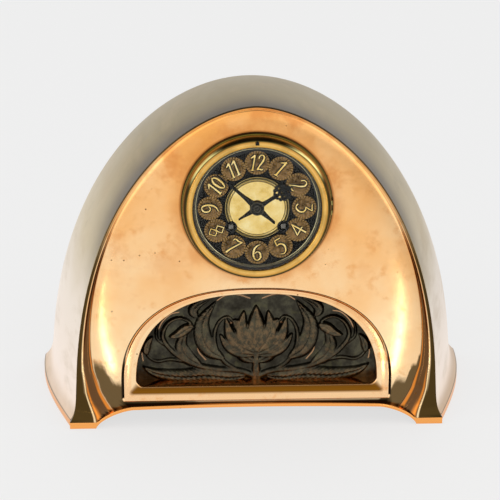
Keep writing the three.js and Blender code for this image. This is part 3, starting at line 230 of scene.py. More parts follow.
def addMark(piece, name, values):  # a material reads it: a value for each vertex, or its formula
    if callable(values):
        values = [values(*place) for place in placesOf(piece)]
    layer = piece.data.attributes.new(name, "FLOAT", "POINT")
    layer.data.foreach_set("value", [float(value) for value in values])


def step(value, low, high):  # smooth step, also downwards when low is over high
    t = min(max((value - low) / (high - low), 0), 1)
    return t * t * (3 - 2 * t)


# Materials
tree = None  # the node tree that the helpers below add their nodes to


def startTree(owner):
    global tree
    owner.use_nodes = True
    tree = owner.node_tree
    tree.nodes.clear()


def colour(hexValue):
    channels = [int(hexValue[i:i + 2], 16) / 255 for i in (1, 3, 5)]
    linear = [c / 12.92 if c <= 0.04045 else ((c + 0.055) / 1.055) ** 2.4 for c in channels]
    return (*linear, 1.0)


def node(kind, inputs=None, **settings):  # an input takes a socket, a hex colour or a plain value
    made = tree.nodes.new("ShaderNode" + kind)
    for key, value in settings.items():
        setattr(made, key, value)
    for key, value in (inputs or {}).items():
        if isinstance(value, bpy.types.NodeSocket):
            tree.links.new(value, made.inputs[key])
        else:
            made.inputs[key].default_value = colour(value) if isinstance(value, str) else value
    return made


def ramp(value, *stops):  # stops: position, and a hex colour or a grey value
    made = node("ValToRGB", {"Fac": value})
    elements = made.color_ramp.elements
    while len(elements) < len(stops):
        elements.new(0.5)
    for element, (position, shade) in zip(elements, stops):
        element.position = position
        element.color = colour(shade) if isinstance(shade, str) else (shade, shade, shade, 1)
    return made.outputs[0]


def maths(operation, *values, clamp=False):
    return node("Math", dict(enumerate(values)), operation=operation, use_clamp=clamp).outputs[0]


def times(first, second):
    return maths("MULTIPLY", first, second)


def minus(first, second):
    return maths("SUBTRACT", first, second)


def scaled(value, factor, more, clamp=False):  # value times factor, plus more
    return maths("MULTIPLY_ADD", value, factor, more, clamp=clamp)


def ramped(value, low, high, least=0.0, most=1.0):  # least at low, most at high, also downwards
    ends = {"From Min": low, "From Max": high, "To Min": least, "To Max": most}
    return node("MapRange", {"Value": value, **ends}, interpolation_type="SMOOTHSTEP").outputs[0]


def near(value, middle, full, none):  # 1 up to full away from the middle, 0 from none on
    return ramped(maths("ABSOLUTE", minus(value, middle)), none, full)


def tint(base, share, shade, amount=None):  # mixes a shade into the base by a share, times an amount
    if amount is not None:
        share = times(share, amount)
    return node("Mix", {0: share, 6: base, 7: shade}, data_type="RGBA").outputs[2]


def noise(place, size, detail=3.0, roughness=0.55, stretch=None):  # size of a blotch in mm
    if stretch:
        place = node("Mapping", {"Vector": place, "Scale": stretch}).outputs[0]
    return node("TexNoise", {"Vector": place, "Scale": 1000 / size, "Detail": detail,
                             "Roughness": roughness}).outputs["Fac"]


def mark(name):
    return node("Attribute", attribute_name=name).outputs["Fac"]


def zoned(base, **shades):  # a shade over each marked zone, in this order
    for name, shade in shades.items():
        base = tint(base, mark(name), shade)
    return base


def axes(place):
    return node("SeparateXYZ", {0: place}).outputs


def radiusFrom(place, centreHeight):  # distance from a level axis that runs front to back, in mm
    x, _, z = axes(place)
    flat = node("CombineXYZ", {0: x, 1: 0.0, 2: minus(z, centreHeight / 1000)})
    length = node("VectorMath", {0: flat.outputs[0]}, operation="LENGTH")
    return times(length.outputs["Value"], 1000.0)


def bumped(height, depth, strength=1.0):
    return node("Bump", {"Height": height, "Strength": strength, "Distance": depth}).outputs[0]


def mixShader(share, first, second):
    return node("MixShader", {0: share, 1: first.outputs[0], 2: second.outputs[0]})


def finish(shader, kind="OutputMaterial"):
    node(kind, {"Surface": shader.outputs[0]})


def finishMetal(base, roughness, height, depth, metallic=1.0, specular=0.5):
    finish(node("BsdfPrincipled", {
        "Base Color": base, "Roughness": roughness, "Metallic": metallic, "Specular IOR Level": specular,
        "Normal": bumped(height, depth)}))


def material(name, look, *options):  # look draws the nodes from the place in the object, in metres
    made = bpy.data.materials.new(name)
    startTree(made)
    look(node("TexCoord").outputs["Object"], *options)
    return made


# Cast bronze, polished bright: orange gold with cloudy tarnish, fine scratches and small pits
def polishedBronze(place):
    z = axes(place)[2]
    level = scaled(noise(place, 70, 4), 0.9, times(z, -2.2))
    base = ramp(maths("ADD", level, 0.45), (0.16, "#efa85a"), (0.34, "#f9bc78"), (0.55, "#fdcc92"),
                (0.8, "#ffdcac"))
    base = tint(base, ramped(noise(place, 16, 5, 0.65), 0.54, 0.76), "#eaa45f", 0.7)
    blush = times(ramped(noise(place, 48, 4, 0.6), 0.52, 0.66), ramped(z, 0.12, 0.24))
    base = tint(base, blush, "#e0904a", 0.7)
    # brown blush round the bezel
    radius = radiusFrom(place, dialCentre)
    wobble = scaled(noise(place, 22, 4), 26.0, -13.0)
    base = tint(base, ramped(maths("ADD", radius, wobble), 86.0, 70.0), "#d98f4a", 0.6)
    base = tint(base, ramped(radius, 74.6, 72.2), "#8a4f1c", 0.75)
    # painted dark reflection, mottled, low in the corners
    painted_dark_reflection = scaled(noise(place, 11, 4), 0.8, mark("painted_dark_reflection"))
    base = tint(base, ramped(painted_dark_reflection, 0.62, 1.2), "#5a4524", 0.94)
    # zones along the edge and round the window: a dark band and an orange rim,
    # painted orange reflection (glow) and a painted highlight on the ridge
    # painted shade in the valley and the crease, painted dark reflection on the sill (gutter),
    base = zoned(base, valley="#583413", glow="#e68a35", band="#4c3a1c", ridge="#f3dca0", gutter="#7c4f12",
                 crease="#181109", rim="#f7a95c")
    # pits of the casting, drawn about 1 mm wide so that they show
    cells = node("TexVoronoi", {"Vector": place, "Scale": 1000 / 15}).outputs["Distance"]
    pit = times(ramped(cells, 0.075, 0.03), ramped(noise(place, 35, 2), 0.44, 0.5))
    base = tint(base, pit, "#6e4418", 0.85)
    scratch = noise(place, 5, 2, 0.5, stretch=(0.25, 1, 3.2))
    rough = scaled(ramped(scratch, 0.55, 0.75), 0.06, scaled(noise(place, 12, 4), 0.14, 0.1))
    height = scaled(scratch, 0.04, scaled(pit, -1.0, times(noise(place, 26, 2), 0.6)))
    finishMetal(base, rough, height, 0.00025)


# The same bronze on the hood, satin; paler on its flanks as painted grazing sheen, darker towards the crown
# as painted shade,
# and a painted brown shade along its seam with the front, more towards the crown, where the metal is also
# duller
def hoodBronze(place):
    _, y, z = axes(place)
    # paler low down and darker towards the crown: painted grazing sheen and painted shade
    level = scaled(noise(place, 80, 3), 0.06, z)
    base = ramp(times(level, 2.9), (0.0, "#f8d6b0"), (0.2, "#fdebdc"), (0.42, "#f0e2d2"), (0.62, "#cbb994"),
                (0.85, "#95814f"))
    high = ramped(z, 0.12, 0.26)
    # painted shade along the seam with the front, high up
    painted_seam_shade = times(ramped(y, -0.022, -0.085), high)
    streak = noise(place, 30, 4, 0.6, stretch=(1, 0.3, 1))
    base = tint(base, ramped(streak, 0.48, 0.72), "#b9a27c", 0.4)
    base = tint(base, times(ramped(noise(place, 26, 5, 0.65), 0.54, 0.72), high), "#8a7a58", 0.4)
    base = tint(base, painted_seam_shade, "#584420", 0.85)
    # painted shade, darkest nearest the seam
    base = tint(base, times(ramped(y, -0.055, -0.09), high), "#33250c", 0.7)
    # painted shade in the cove over the foot and in the crease above the rim; the rim in orange
    base = zoned(base, cove="#a07a48", rim="#f0a860", crease="#3a2a14")
    height = scaled(noise(place, 40, 2), 0.8, times(streak, 0.1))
    dull = scaled(painted_seam_shade, -0.55, scaled(high, -0.12, 1.0))
    finishMetal(base, scaled(streak, 0.12, 0.27), height, 0.0003, metallic=dull)


# Bronze with a dark chemical patina, rubbed to copper on what stands out
def patinatedBronze(place):
    cloud = noise(place, 14, 5, 0.65)
    base = ramp(cloud, (0.35, "#28251e"), (0.5, "#38352d"), (0.65, "#4e4b3d"))
    base = tint(base, ramped(noise(place, 9, 4), 0.55, 0.7), "#55523a", 0.4)
    raised = ramped(mark("raised"), 0.35, 0.95)
    rubbed_wear_and_painted_highlight = times(raised, ramped(noise(place, 5, 4, 0.7), 0.42, 0.6))
    base = tint(base, raised, "#4f493a", 0.5)
    base = tint(base, rubbed_wear_and_painted_highlight, "#85694a", 0.45)
    base = tint(base, mark("etched"), "#c79a72")
    height = scaled(noise(place, 2.2, 3, 0.6), 0.5, times(cloud, 0.8))
    finishMetal(base, scaled(cloud, 0.22, 0.2), height, 0.0004)


# Lacquered brass of the bezel, gold on its inner band; its dark olive flank and dark foot are painted dark
# reflection and shade,
# with a painted pale line along the flank and painted highlights at its upper left and right
def bezelBrass(place):
    first, span = 57, 15
    # on the flank (66.8 to 69.3) and at the foot (71.45 out): painted dark reflection and shade; at 70.5: a
    # painted pale line
    rings = [(57.2, "#cdbf95"), (57.9, "#dccfa6"), (58.1, "#1c180e"), (58.8, "#1c180e"), (59.0, "#d2c497"),
             (59.6, "#c4b585"), (59.8, "#2a2416"), (60.8, "#3a3018"), (61.1, "#a87f3a"), (61.7, "#d3a450"),
             (63.8, "#efbf6c"), (65.9, "#d29c4c"), (66.8, "#6b5a2a"), (67.4, "#3a3118"), (69.3, "#2c2512"),
             (69.8, "#6e683c"), (70.5, "#b8a866"), (71.1, "#5e5630"), (71.45, "#221c10"), (72.0, "#1c170d")]
    radius = radiusFrom(place, dialCentre)
    share = maths("DIVIDE", minus(radius, first), span)
    base = ramp(share, *[((ring - first) / span, shade) for ring, shade in rings])
    x, _, z = axes(place)
    around = maths("ARCTAN2", minus(z, dialCentre / 1000), x)
    # painted highlights on the flank, at its upper right and, weaker, its upper left
    rubbed_wear_and_painted_highlight = maths("MAXIMUM", near(around, 0.80, 0.1, 0.42), times(near(around, 2.42, 0.1, 0.4), 0.7))
    base = tint(base, times(rubbed_wear_and_painted_highlight, near(radius, 68.3, 0.4, 1.5)), "#fff0a0")
    cloud = noise(place, 18, 4)
    base = tint(base, ramped(cloud, 0.45, 0.7), "#6f5524", 0.3)
    finishMetal(base, scaled(cloud, 0.14, 0.14), times(cloud, 0.5), 0.0001)


# Clear glass, a little brighter on its cut bevel
def clearGlass(place):
    glossy = node("BsdfGlossy", {"Color": "#ffffff", "Roughness": 0.04})
    clear = node("BsdfTransparent", {"Color": (0.97, 0.98, 0.97, 1)})
    share = times(node("Fresnel", {"IOR": 1.5}).outputs[0], scaled(noise(place, 40, 3), 0.2, 0.05))
    share = scaled(ramped(radiusFrom(place, dialCentre), 55.7, 56.2), 0.01, share)
    finish(mixShader(share, clear, glossy))


# Black lacquer over brass, matt, with a fine grain and dust
def blackLacquer(place):
    grain = noise(place, 1.2, 3)
    base = tint("#0b0a08", ramped(grain, 0.55, 0.75), "#221c12")
    finishMetal(base, scaled(noise(place, 7, 3), 0.3, 0.32), grain, 0.0002, metallic=0.0, specular=0.12)


# Brown stippled bronze of the roundels, hatched like rope at the rim; the UV map is 1 at the rim
# paler towards the bottom as painted light, with painted shade round the foot of each roundel
def stippledBronze(place):
    local = node("UVMap", uv_map="roundel").outputs[0]
    across, up, _ = axes(local)
    radius = node("VectorMath", {0: local}, operation="LENGTH").outputs["Value"]
    twist = scaled(radius, 6.0, times(maths("ARCTAN2", up, across), 26.0))
    edge = ramped(radius, 0.74, 0.84)
    rope = times(edge, scaled(maths("SINE", twist), 0.5, 0.5))
    cloud = noise(place, 4, 4, 0.65)
    base = ramp(cloud, (0.36, "#382914"), (0.5, "#6a5032"), (0.62, "#96744a"))
    # painted light: paler towards the bottom
    base = tint(base, ramped(up, 0.2, -0.9), "#a88358", 0.35)
    base = tint(base, edge, "#382812", 0.6)
    base = tint(base, rope, "#b28c58", 0.85)
    # painted shade round the foot of each roundel
    base = tint(base, ramped(radius, 0.955, 0.985), "#1c150c")
    stipple = noise(place, 0.9, 2, 0.6)
    base = tint(base, ramped(stipple, 0.5, 0.7), "#a6834f", 0.35)
    finishMetal(base, scaled(cloud, 0.3, 0.3), scaled(rope, 1.2, stipple), 0.00022)


# Gilt brass: numerals and the polished disc, finely brushed
def giltBrass(place):
    radius = radiusFrom(place, dialCentre)
    cloud = noise(place, 12, 4)
    base = ramp(cloud, (0.3, "#e8c06a"), (0.5, "#f8d68a"), (0.7, "#ffe6a8"))
    rings = ramp(maths("DIVIDE", radius, 34.0), (0.0, 0.0), (0.755, 0.0), (0.775, 1.0), (0.80, 0.25),
                 (0.835, 1.0), (0.87, 1.0), (0.885, 0.35), (0.90, 1.0))
    base = tint(base, times(rings, ramped(radius, 31.6, 31.2)), "#4a3f24")
    brush = noise(place, 3, 2, 0.5, stretch=(0.3, 1, 1.5))
    disc = ramped(radius, 26.6, 26.2)
    finishMetal(base, scaled(brush, 0.1, scaled(disc, -0.1, 0.12)), cloud, 0.0001)


# Blackened steel of the hands, finely grained; on the hub, painted highlights on its middle, its ring and its
# edge
def blackenedSteel(place, paintedHubHighlights=False):  # true for the hub, with its painted highlights
    grain = noise(place, 2.5, 4)
    base = tint("#0c0b0a", ramped(grain, 0.5, 0.8), "#2a261f")
    if paintedHubHighlights:
        share = maths("DIVIDE", radiusFrom(place, dialCentre), 8.0)
        rubbed_wear_and_painted_highlight = ramp(
            share, (0.0, "#6b6459"), (0.1, "#3a352e"), (0.19, "#15130f"), (0.31, "#1c1914"),
            (0.37, "#6a6252"), (0.43, "#191611"), (0.72, "#14120e"), (0.8, "#6e6450"), (0.84, "#191611"))
        base = tint(base, 0.8, rubbed_wear_and_painted_highlight)
    finishMetal(base, scaled(grain, 0.25, 0.3), grain, 0.0001, metallic=0.6)


# Clock brass: turned and grained plates and wheels, lacquered
def clockBrass(place):
    base = ramp(noise(place, 35, 4), (0.3, "#b08c45"), (0.5, "#c9a65a"), (0.7, "#d8b96f"))
    base = tint(base, ramped(noise(place, 4, 4, 0.7), 0.62, 0.74), "#7d5f2c", 0.5)
    grain = noise(place, 2.2, 2, 0.5, stretch=(0.1, 1, 3))
    finishMetal(base, scaled(grain, 0.16, 0.24), grain, 0.00005)


# Turned steel of screws and arbors
def turnedSteel(place):
    grain = noise(place, 1.5, 3, 0.6)
    base = tint("#8d8f92", ramped(noise(place, 8, 3), 0.4, 0.7), "#b4b6b8")
    finishMetal(base, scaled(grain, 0.2, 0.22), grain, 0.00005)


# Sheet brass of the back, grained upright by rolling, lacquered, darker where the lacquer has gone
# darker towards the bottom, with a painted shadow round the door
def rolledBrass(place):
    cloud = noise(place, 110, 3, 0.5)
    base = ramp(cloud, (0.3, "#b9944c"), (0.5, "#c8a45a"), (0.7, "#d6b56c"))
    line = noise(place, 1.2, 2, 0.5, stretch=(1, 1, 0.04))
    base = tint(base, ramped(line, 0.45, 0.75), "#9a7838", 0.1)
    spot = ramped(noise(place, 7, 5, 0.7), 0.6, 0.72)
    base = tint(base, spot, "#6f5526", 0.35)
    base = tint(base, ramped(scaled(cloud, 0.05, axes(place)[2]), 0.075, 0.03), "#7c5c2c", 0.6)
    # painted shadow in a ring round the door
    radius = radiusFrom(place, dialCentre - door["drop"])
    base = tint(base, near(radius, door["radius"] + 1.2, 0.8, 4.5), "#5b451f", 0.7)
    finishMetal(base, scaled(line, 0.14, scaled(spot, 0.15, 0.2)), line, 0.00002)


# Steel of the winding squares, browned with age
def brownedSteel(place):
    grain = noise(place, 1.2, 3, 0.6)
    base = tint("#6d6862", ramped(grain, 0.45, 0.7), "#a09a93")
    finishMetal(base, scaled(grain, 0.25, 0.3), grain, 0.00008)


finishes = {  # by slot
    "polished_bronze": material("polished_cast_bronze", polishedBronze),
    "hood_bronze": material("satin_cast_bronze", hoodBronze),
    "dark_patina": material("dark_patinated_bronze", patinatedBronze),
    "bezel_bronze": material("lacquered_bezel_brass", bezelBrass),
    "glass": material("clear_glass", clearGlass),
    "black_lacquer": material("black_lacquer", blackLacquer),
    "stippled_bronze": material("stippled_brown_bronze", stippledBronze),
    "gilt": material("gilt_brass", giltBrass),
    "blued_steel": material("blackened_steel", blackenedSteel),
    "clock_brass": material("grained_clock_brass", clockBrass),
    "steel": material("turned_steel", turnedSteel),
}
hubSteel = material("blackened_steel_painted_highlights", blackenedSteel, True)
squareSteel = material("browned_steel", brownedSteel)
sheetBrass = material("rolled_sheet_brass", rolledBrass)
print("materials ready")


# Camera, floor and light
view = {"turn": 2.1, "fall": 19.4, "range": 1900, "target": (-6.6, 0, 183.4), "lens": 144}
turn, fall = math.radians(view["turn"]), math.radians(view["fall"])
sight = Vector((math.sin(turn) * math.cos(fall), math.cos(turn) * math.cos(fall), -math.sin(fall)))
bpy.ops.object.camera_add(location=at(*view["target"]) - sight * view["range"] / 1000)
camera = bpy.context.object
camera.rotation_euler = sight.to_track_quat("-Z", "Y").to_euler()
camera.data.sensor_width = 36
camera.data.lens = view["lens"]
scene.camera = camera
scene.view_settings.view_transform = "Standard"

# The room is one grey to the camera; the metal sees it darker overhead and behind
studio = {"background": "#f0f0f0", "level": 1.07, "zenith": 0.16, "behind": 0.55, "fill": 0.9}


def background(shade, strength):
    return node("Background", {"Color": shade, "Strength": strength})


world = bpy.data.worlds.new("studio")
scene.world = world
startTree(world)
_, ahead, up = axes(node("TexCoord").outputs["Generated"])
behind = times(ramped(up, 0.0, 0.36), ramped(ahead, 0.5, 0.85))
overhead = times(ramped(up, 0.5, 0.85, studio["level"], studio["zenith"]),
                 scaled(behind, studio["behind"] - 1, 1.0))
rays = node("LightPath").outputs
fill, reflected = background("#ffffff", studio["fill"]), background("#ffffff", overhead)
shown = mixShader(rays["Is Glossy Ray"], fill, reflected)
sees = maths("MAXIMUM", rays["Is Camera Ray"], rays["Is Transmission Ray"])
finish(mixShader(sees, shown, background(studio["background"], 1.0)), "OutputWorld")


def palePaper(place):  # it glows to the camera and, more at the left, to the metal
    paper = node("BsdfPrincipled", {"Base Color": studio["background"], "Roughness": 0.9,
                                    "Normal": bumped(noise(place, 3, 3), 0.0002, 0.3)})
    rays = node("LightPath").outputs
    lift = scaled(ramped(axes(place)[0], 0.1, 0.6), -0.26, 0.13)
    glow = node("Emission", {"Color": studio["background"],
                             "Strength": scaled(rays["Is Glossy Ray"], lift, 1.0)})
    seen = scaled(rays["Is Glossy Ray"], 0.92, times(rays["Is Camera Ray"], 0.8), clamp=True)
    finish(mixShader(seen, paper, glow))


bpy.ops.mesh.primitive_plane_add(size=60, location=(0, 0, -0.0002))
floor = bpy.context.object
floor.name = "floor"
floor.data.materials.append(material("pale_paper", palePaper))


def lamp(name, place, target, width, height, watts, shade):
    clearSelection()
    bpy.ops.object.light_add(type="AREA", location=place)
    light = bpy.context.object
    light.name = name
    light.data.shape = "RECTANGLE"
    light.data.size, light.data.size_y = width, height
    light.data.energy = watts
    light.data.color = colour(shade)[:3]
    light.rotation_euler = (Vector(target) - Vector(place)).to_track_quat("-Z", "Y").to_euler()
    light.visible_camera = False
    return light


lamp("softbox_left", (-1.1, -0.9, 0.9), (0, 0, 0.15), 1.7, 1.5, 4, "#fffdf6")
lamp("softbox_right", (1.2, -0.8, 0.8), (0, 0, 0.15), 1.6, 1.5, 3, "#fffdf6")
strips = (("strip_left", -0.222, -0.38, 0.34, -23), ("strip_right", 0.2, -0.365, 0.32, 18))
for name, x, y, length, turned in strips:  # on the floor, facing up
    strip = lamp(name, (x, y, 0.003), (x, y, 1), 0.011, length, 0.055, "#fff8e0")
    strip.rotation_euler = (math.pi, 0, math.radians(turned))
print("camera and light set")


# The case outline, a pointed arch that changes towards the rear
def archAt(depth):
    t = min(max(depth / case["depth"], 0), 1)
    spread = math.sin(math.pi / 2 * min(depth / case["spreadDepth"], 1))
    return {
        "width": case["halfWidth"] + case["spread"] * spread,
        "height": case["height"] - case["crownFall"] * t * t,
        "rise": case["frontRise"] + (case["rearRise"] - case["frontRise"]) * t,
        "span": case["frontSpan"] + (case["rearSpan"] - case["frontSpan"]) * t,
        "reach": case["reachFront"] + (case["reachRear"] - case["reachFront"]) * math.sin(math.pi / 2 * t),
    }


def flare(z, reach):
    return reach * math.exp(-max(0, z - case["rim"]) / case["cove"])


footLevels = [
    0, 0.6, 3, 5.7, 6.3, 6.5, 6.9, 7.5, 8.3, 9.3, 10.5, 12, 13.8, 15.8, 18.2, 21, 24.4, 28.4, 32, 36]
archSteps, archStart = 64, 7.5
apexLevel = len(footLevels) + archSteps


def archPoint(level, depth, insetAt, flared):  # level counts from the foot to the apex
    shape = archAt(depth)
    if level < len(footLevels):
        z = footLevels[level]
        inset = insetAt(z)
        risen = (z / (shape["height"] - inset)) ** shape["rise"]
        x = (shape["width"] - inset) * (1 - risen) ** (1 / shape["span"])
    else:
        index = level - len(footLevels)
        angle = math.radians(archStart + (90 - archStart) * index / archSteps)
        share = math.sin(angle) ** (2 / shape["rise"])
        inset = insetAt(share * shape["height"])
        z = (shape["height"] - inset) * share
        x = 0 if index == archSteps else (shape["width"] - inset) * math.cos(angle) ** (2 / shape["span"])
    return x + (flare(z, shape["reach"]) if flared else 0), z


def sweptOverArch(name, section):  # section: depth, inset, flared, depth of its outline
    loop = section + section[:1]

    def placeOf(column, row):
        side = 1 if row <= apexLevel else -1
        level = row if side == 1 else 2 * apexLevel - row
        depth, inset, flared, outline = loop[column]
        x, z = archPoint(level, outline, lambda _: inset, flared)
        return at(side * x, depth, z)

    piece = gridPiece(name, len(section), 2 * apexLevel, placeOf)
    closeUp(piece, fill=True)
    return piece


hood = {"front": 8.3, "round": 9, "rebate": 9, "flange": 19, "flangeThick": 4, "seat": 0.3, "backThick": 3}


def makeHood():
    end, back = case["depth"], case["depth"] - hood["backThick"]
    turnStart = end - hood["round"]
    flanks = [hood["front"] + 0.5 + (turnStart - hood["front"] - 0.5) * i / 30 for i in range(31)]
    seat = back - hood["seat"]
    flangeFront = seat - hood["flangeThick"]
    inner = [hood["front"] + (flangeFront - hood["front"]) * i / 10 for i in range(11)]
    section = [(hood["front"], 0.5, True, hood["front"])]
    section += [(depth, 0, True, depth) for depth in flanks]
    for i in range(1, 9):
        angle = math.pi / 2 * i / 8
        inset = hood["round"] * (1 - math.cos(angle))
        section.append((turnStart + hood["round"] * math.sin(angle), inset, True, end))
    section[-1] = (end, hood["rebate"], False, back)
    section += [(seat, hood["rebate"], False, back), (seat, hood["flange"], False, back),
                (flangeFront, hood["flange"], False, back)]
    section += [(depth, case["wall"], False, depth) for depth in reversed(inner)]
    piece = sweptOverArch("hood", section)
    # the rim of the foot; painted shade in the crease over it and in the cove, stronger on the right
    addMark(piece, "rim", lambda x, depth, z: step(z, 6.6, 6.2))
    addMark(piece, "crease", lambda x, depth, z: 0.7 * step(z, 6.3, 6.6) * step(z, 7.6, 6.9))
    addMark(piece, "cove", lambda x, depth, z: (0.3 if x < 0 else 0.6) * step(z, 6.3, 7) * step(z, 24, 9))
    smooth(piece, 30)
    settle(piece, "case", "hood_bronze", "hood_shell")


makeHood()
print("hood made")

panel = {"edge": 0.5, "bandFace": 6.6, "ridge": 5.0, "valley": 8.2, "shoulder": 7.6, "pillow": 34,
         "archSpan": 157, "archShoulder": 37, "archEnd": 19, "archCrown": 20.9, "lip": 3.4}


def bandWidth(z):
    return 2.2 + 3 * (1 - z / case["height"]) + 27 * math.exp(-z / 22)


def valleyWidth(z):
    return 1 + 25 * math.exp(-z / 62)


def archHeight(x):  # the opening under the foot
    shoulder, end, across = panel["archShoulder"], panel["archEnd"], abs(x)
    flat = panel["archSpan"] - shoulder
    if across <= flat:
        return end + (panel["archCrown"] - end) * (1 - (across / flat) ** 2)
    return end * max(0, 1 - ((across - flat) / shoulder) ** 1.5) ** (1 / 1.5)


def archStations():
    shoulder, flat = panel["archShoulder"], panel["archSpan"] - panel["archShoulder"]
    right = [flat + shoulder * math.cos(i * math.pi / 48) for i in range(24)]
    right += [flat * (1 - i / 16) for i in range(16)]
    return right + [0] + [-x for x in reversed(right)]


lunette = {"base": 43, "top": 137.6, "halfWidth": 116.8, "spring": 46, "exponent": 2.4, "corner": 7,
           "side": 13.7, "foot": 14.5, "crown": 5.7, "proud": 2.4, "lap": 3}


def lunetteOutline(grow):  # grow runs from 0 at the opening to 1 at the outer edge
    cornerSteps, steps = 8, 60
    halfWidth = lunette["halfWidth"] + grow * lunette["side"]
    base = lunette["base"] - grow * lunette["foot"]
    top = lunette["top"] + grow * lunette["crown"]
    corner = lunette["corner"] * (1 - grow * 0.8)
    right = []
    for i in range(cornerSteps + 1):
        angle = i / cornerSteps * math.pi / 2
        across, down = corner * math.sin(angle), corner * math.cos(angle)
        right.append((halfWidth - corner + across, base + corner - down))
    for i in range(steps + 1):
        angle = i / steps * math.pi / 2
        x = 0 if i == steps else halfWidth * math.cos(angle) ** (2 / lunette["exponent"])
        z = lunette["spring"] + (top - lunette["spring"]) * math.sin(angle) ** (2 / lunette["exponent"])
        right.append((x, max(z, base + corner + 0.5)))
    return right + [(-x, z) for x, z in reversed(right[:-1])]


def insetOf(x, z):  # the inset whose outline passes through a point of the front
    shape = archAt(case["seam"])
    low, high = 0.0, 200.0
    for _ in range(22):
        middle = (low + high) / 2
        height = shape["height"] - middle
        outside = z >= height
        if not outside:
            reach = (shape["width"] - middle) * (1 - (z / height) ** shape["rise"]) ** (1 / shape["span"])
            outside = reach + flare(z, shape["reach"]) <= abs(x)
        low, high = (low, middle) if outside else (middle, high)
    return low


def creaseOf(x, _, z):  # painted shade over the lip of the foot and beside the frame's foot
    over = step(z - archHeight(x), panel["lip"] + 1.6, panel["lip"] + 0.8)
    return max(over, step(abs(x), 131, 130) * step(z, 28.4, 27.9))


def zoneOf(kind, x, z, deep):  # deep: the inset from the outline of the front
    band, edge = bandWidth(z), bandWidth(z) + valleyWidth(z)
    width = edge - band
    fade = step(z, 235, 165)
    if kind == "band":
        return max(step(deep, band - 0.4, band - 0.8) * (0.3 + 0.7 * fade), step(deep, 1.3, 0.9))
    # ridge: a painted highlight along it, low down
    if kind == "ridge":
        return step(deep, band - 0.25, band - 0.05) * step(deep, band + 0.35, band + 0.05) * step(z, 110, 60)
    # valley: painted shade
    if kind == "valley":
        return step(deep, band + 0.4, band + 0.8) * step(deep, edge + 0.8, edge - 0.1 * width) * 0.95 * fade
    # glow: painted orange reflection streaks in the valley
    if kind == "glow":
        streaks = 0
        for middle, half, top in ((0.86, 0.13, 150), (0.17, 0.12, 52)):
            middle, half = band + middle * width, half * width * (1.2 - z / top)
            if half > 0:
                streaks = max(streaks, step(abs(deep - middle), half, 0.3 * half))
        return streaks * fade
    if x > 0:  # painted dark reflection: at the right a clear dark shape with a slanting edge
        return step(z + 1.6 * (deep - edge) + 1.2 * math.sin(deep / 4), 70, 66) * step(deep, edge - 1, edge)
    side = max(step(deep, edge + 17, edge + 8), step(z, 46, 38))
    return side * step(z + 0.5 * (deep - edge), 84, 56) * step(deep, edge - 1, edge + 2)


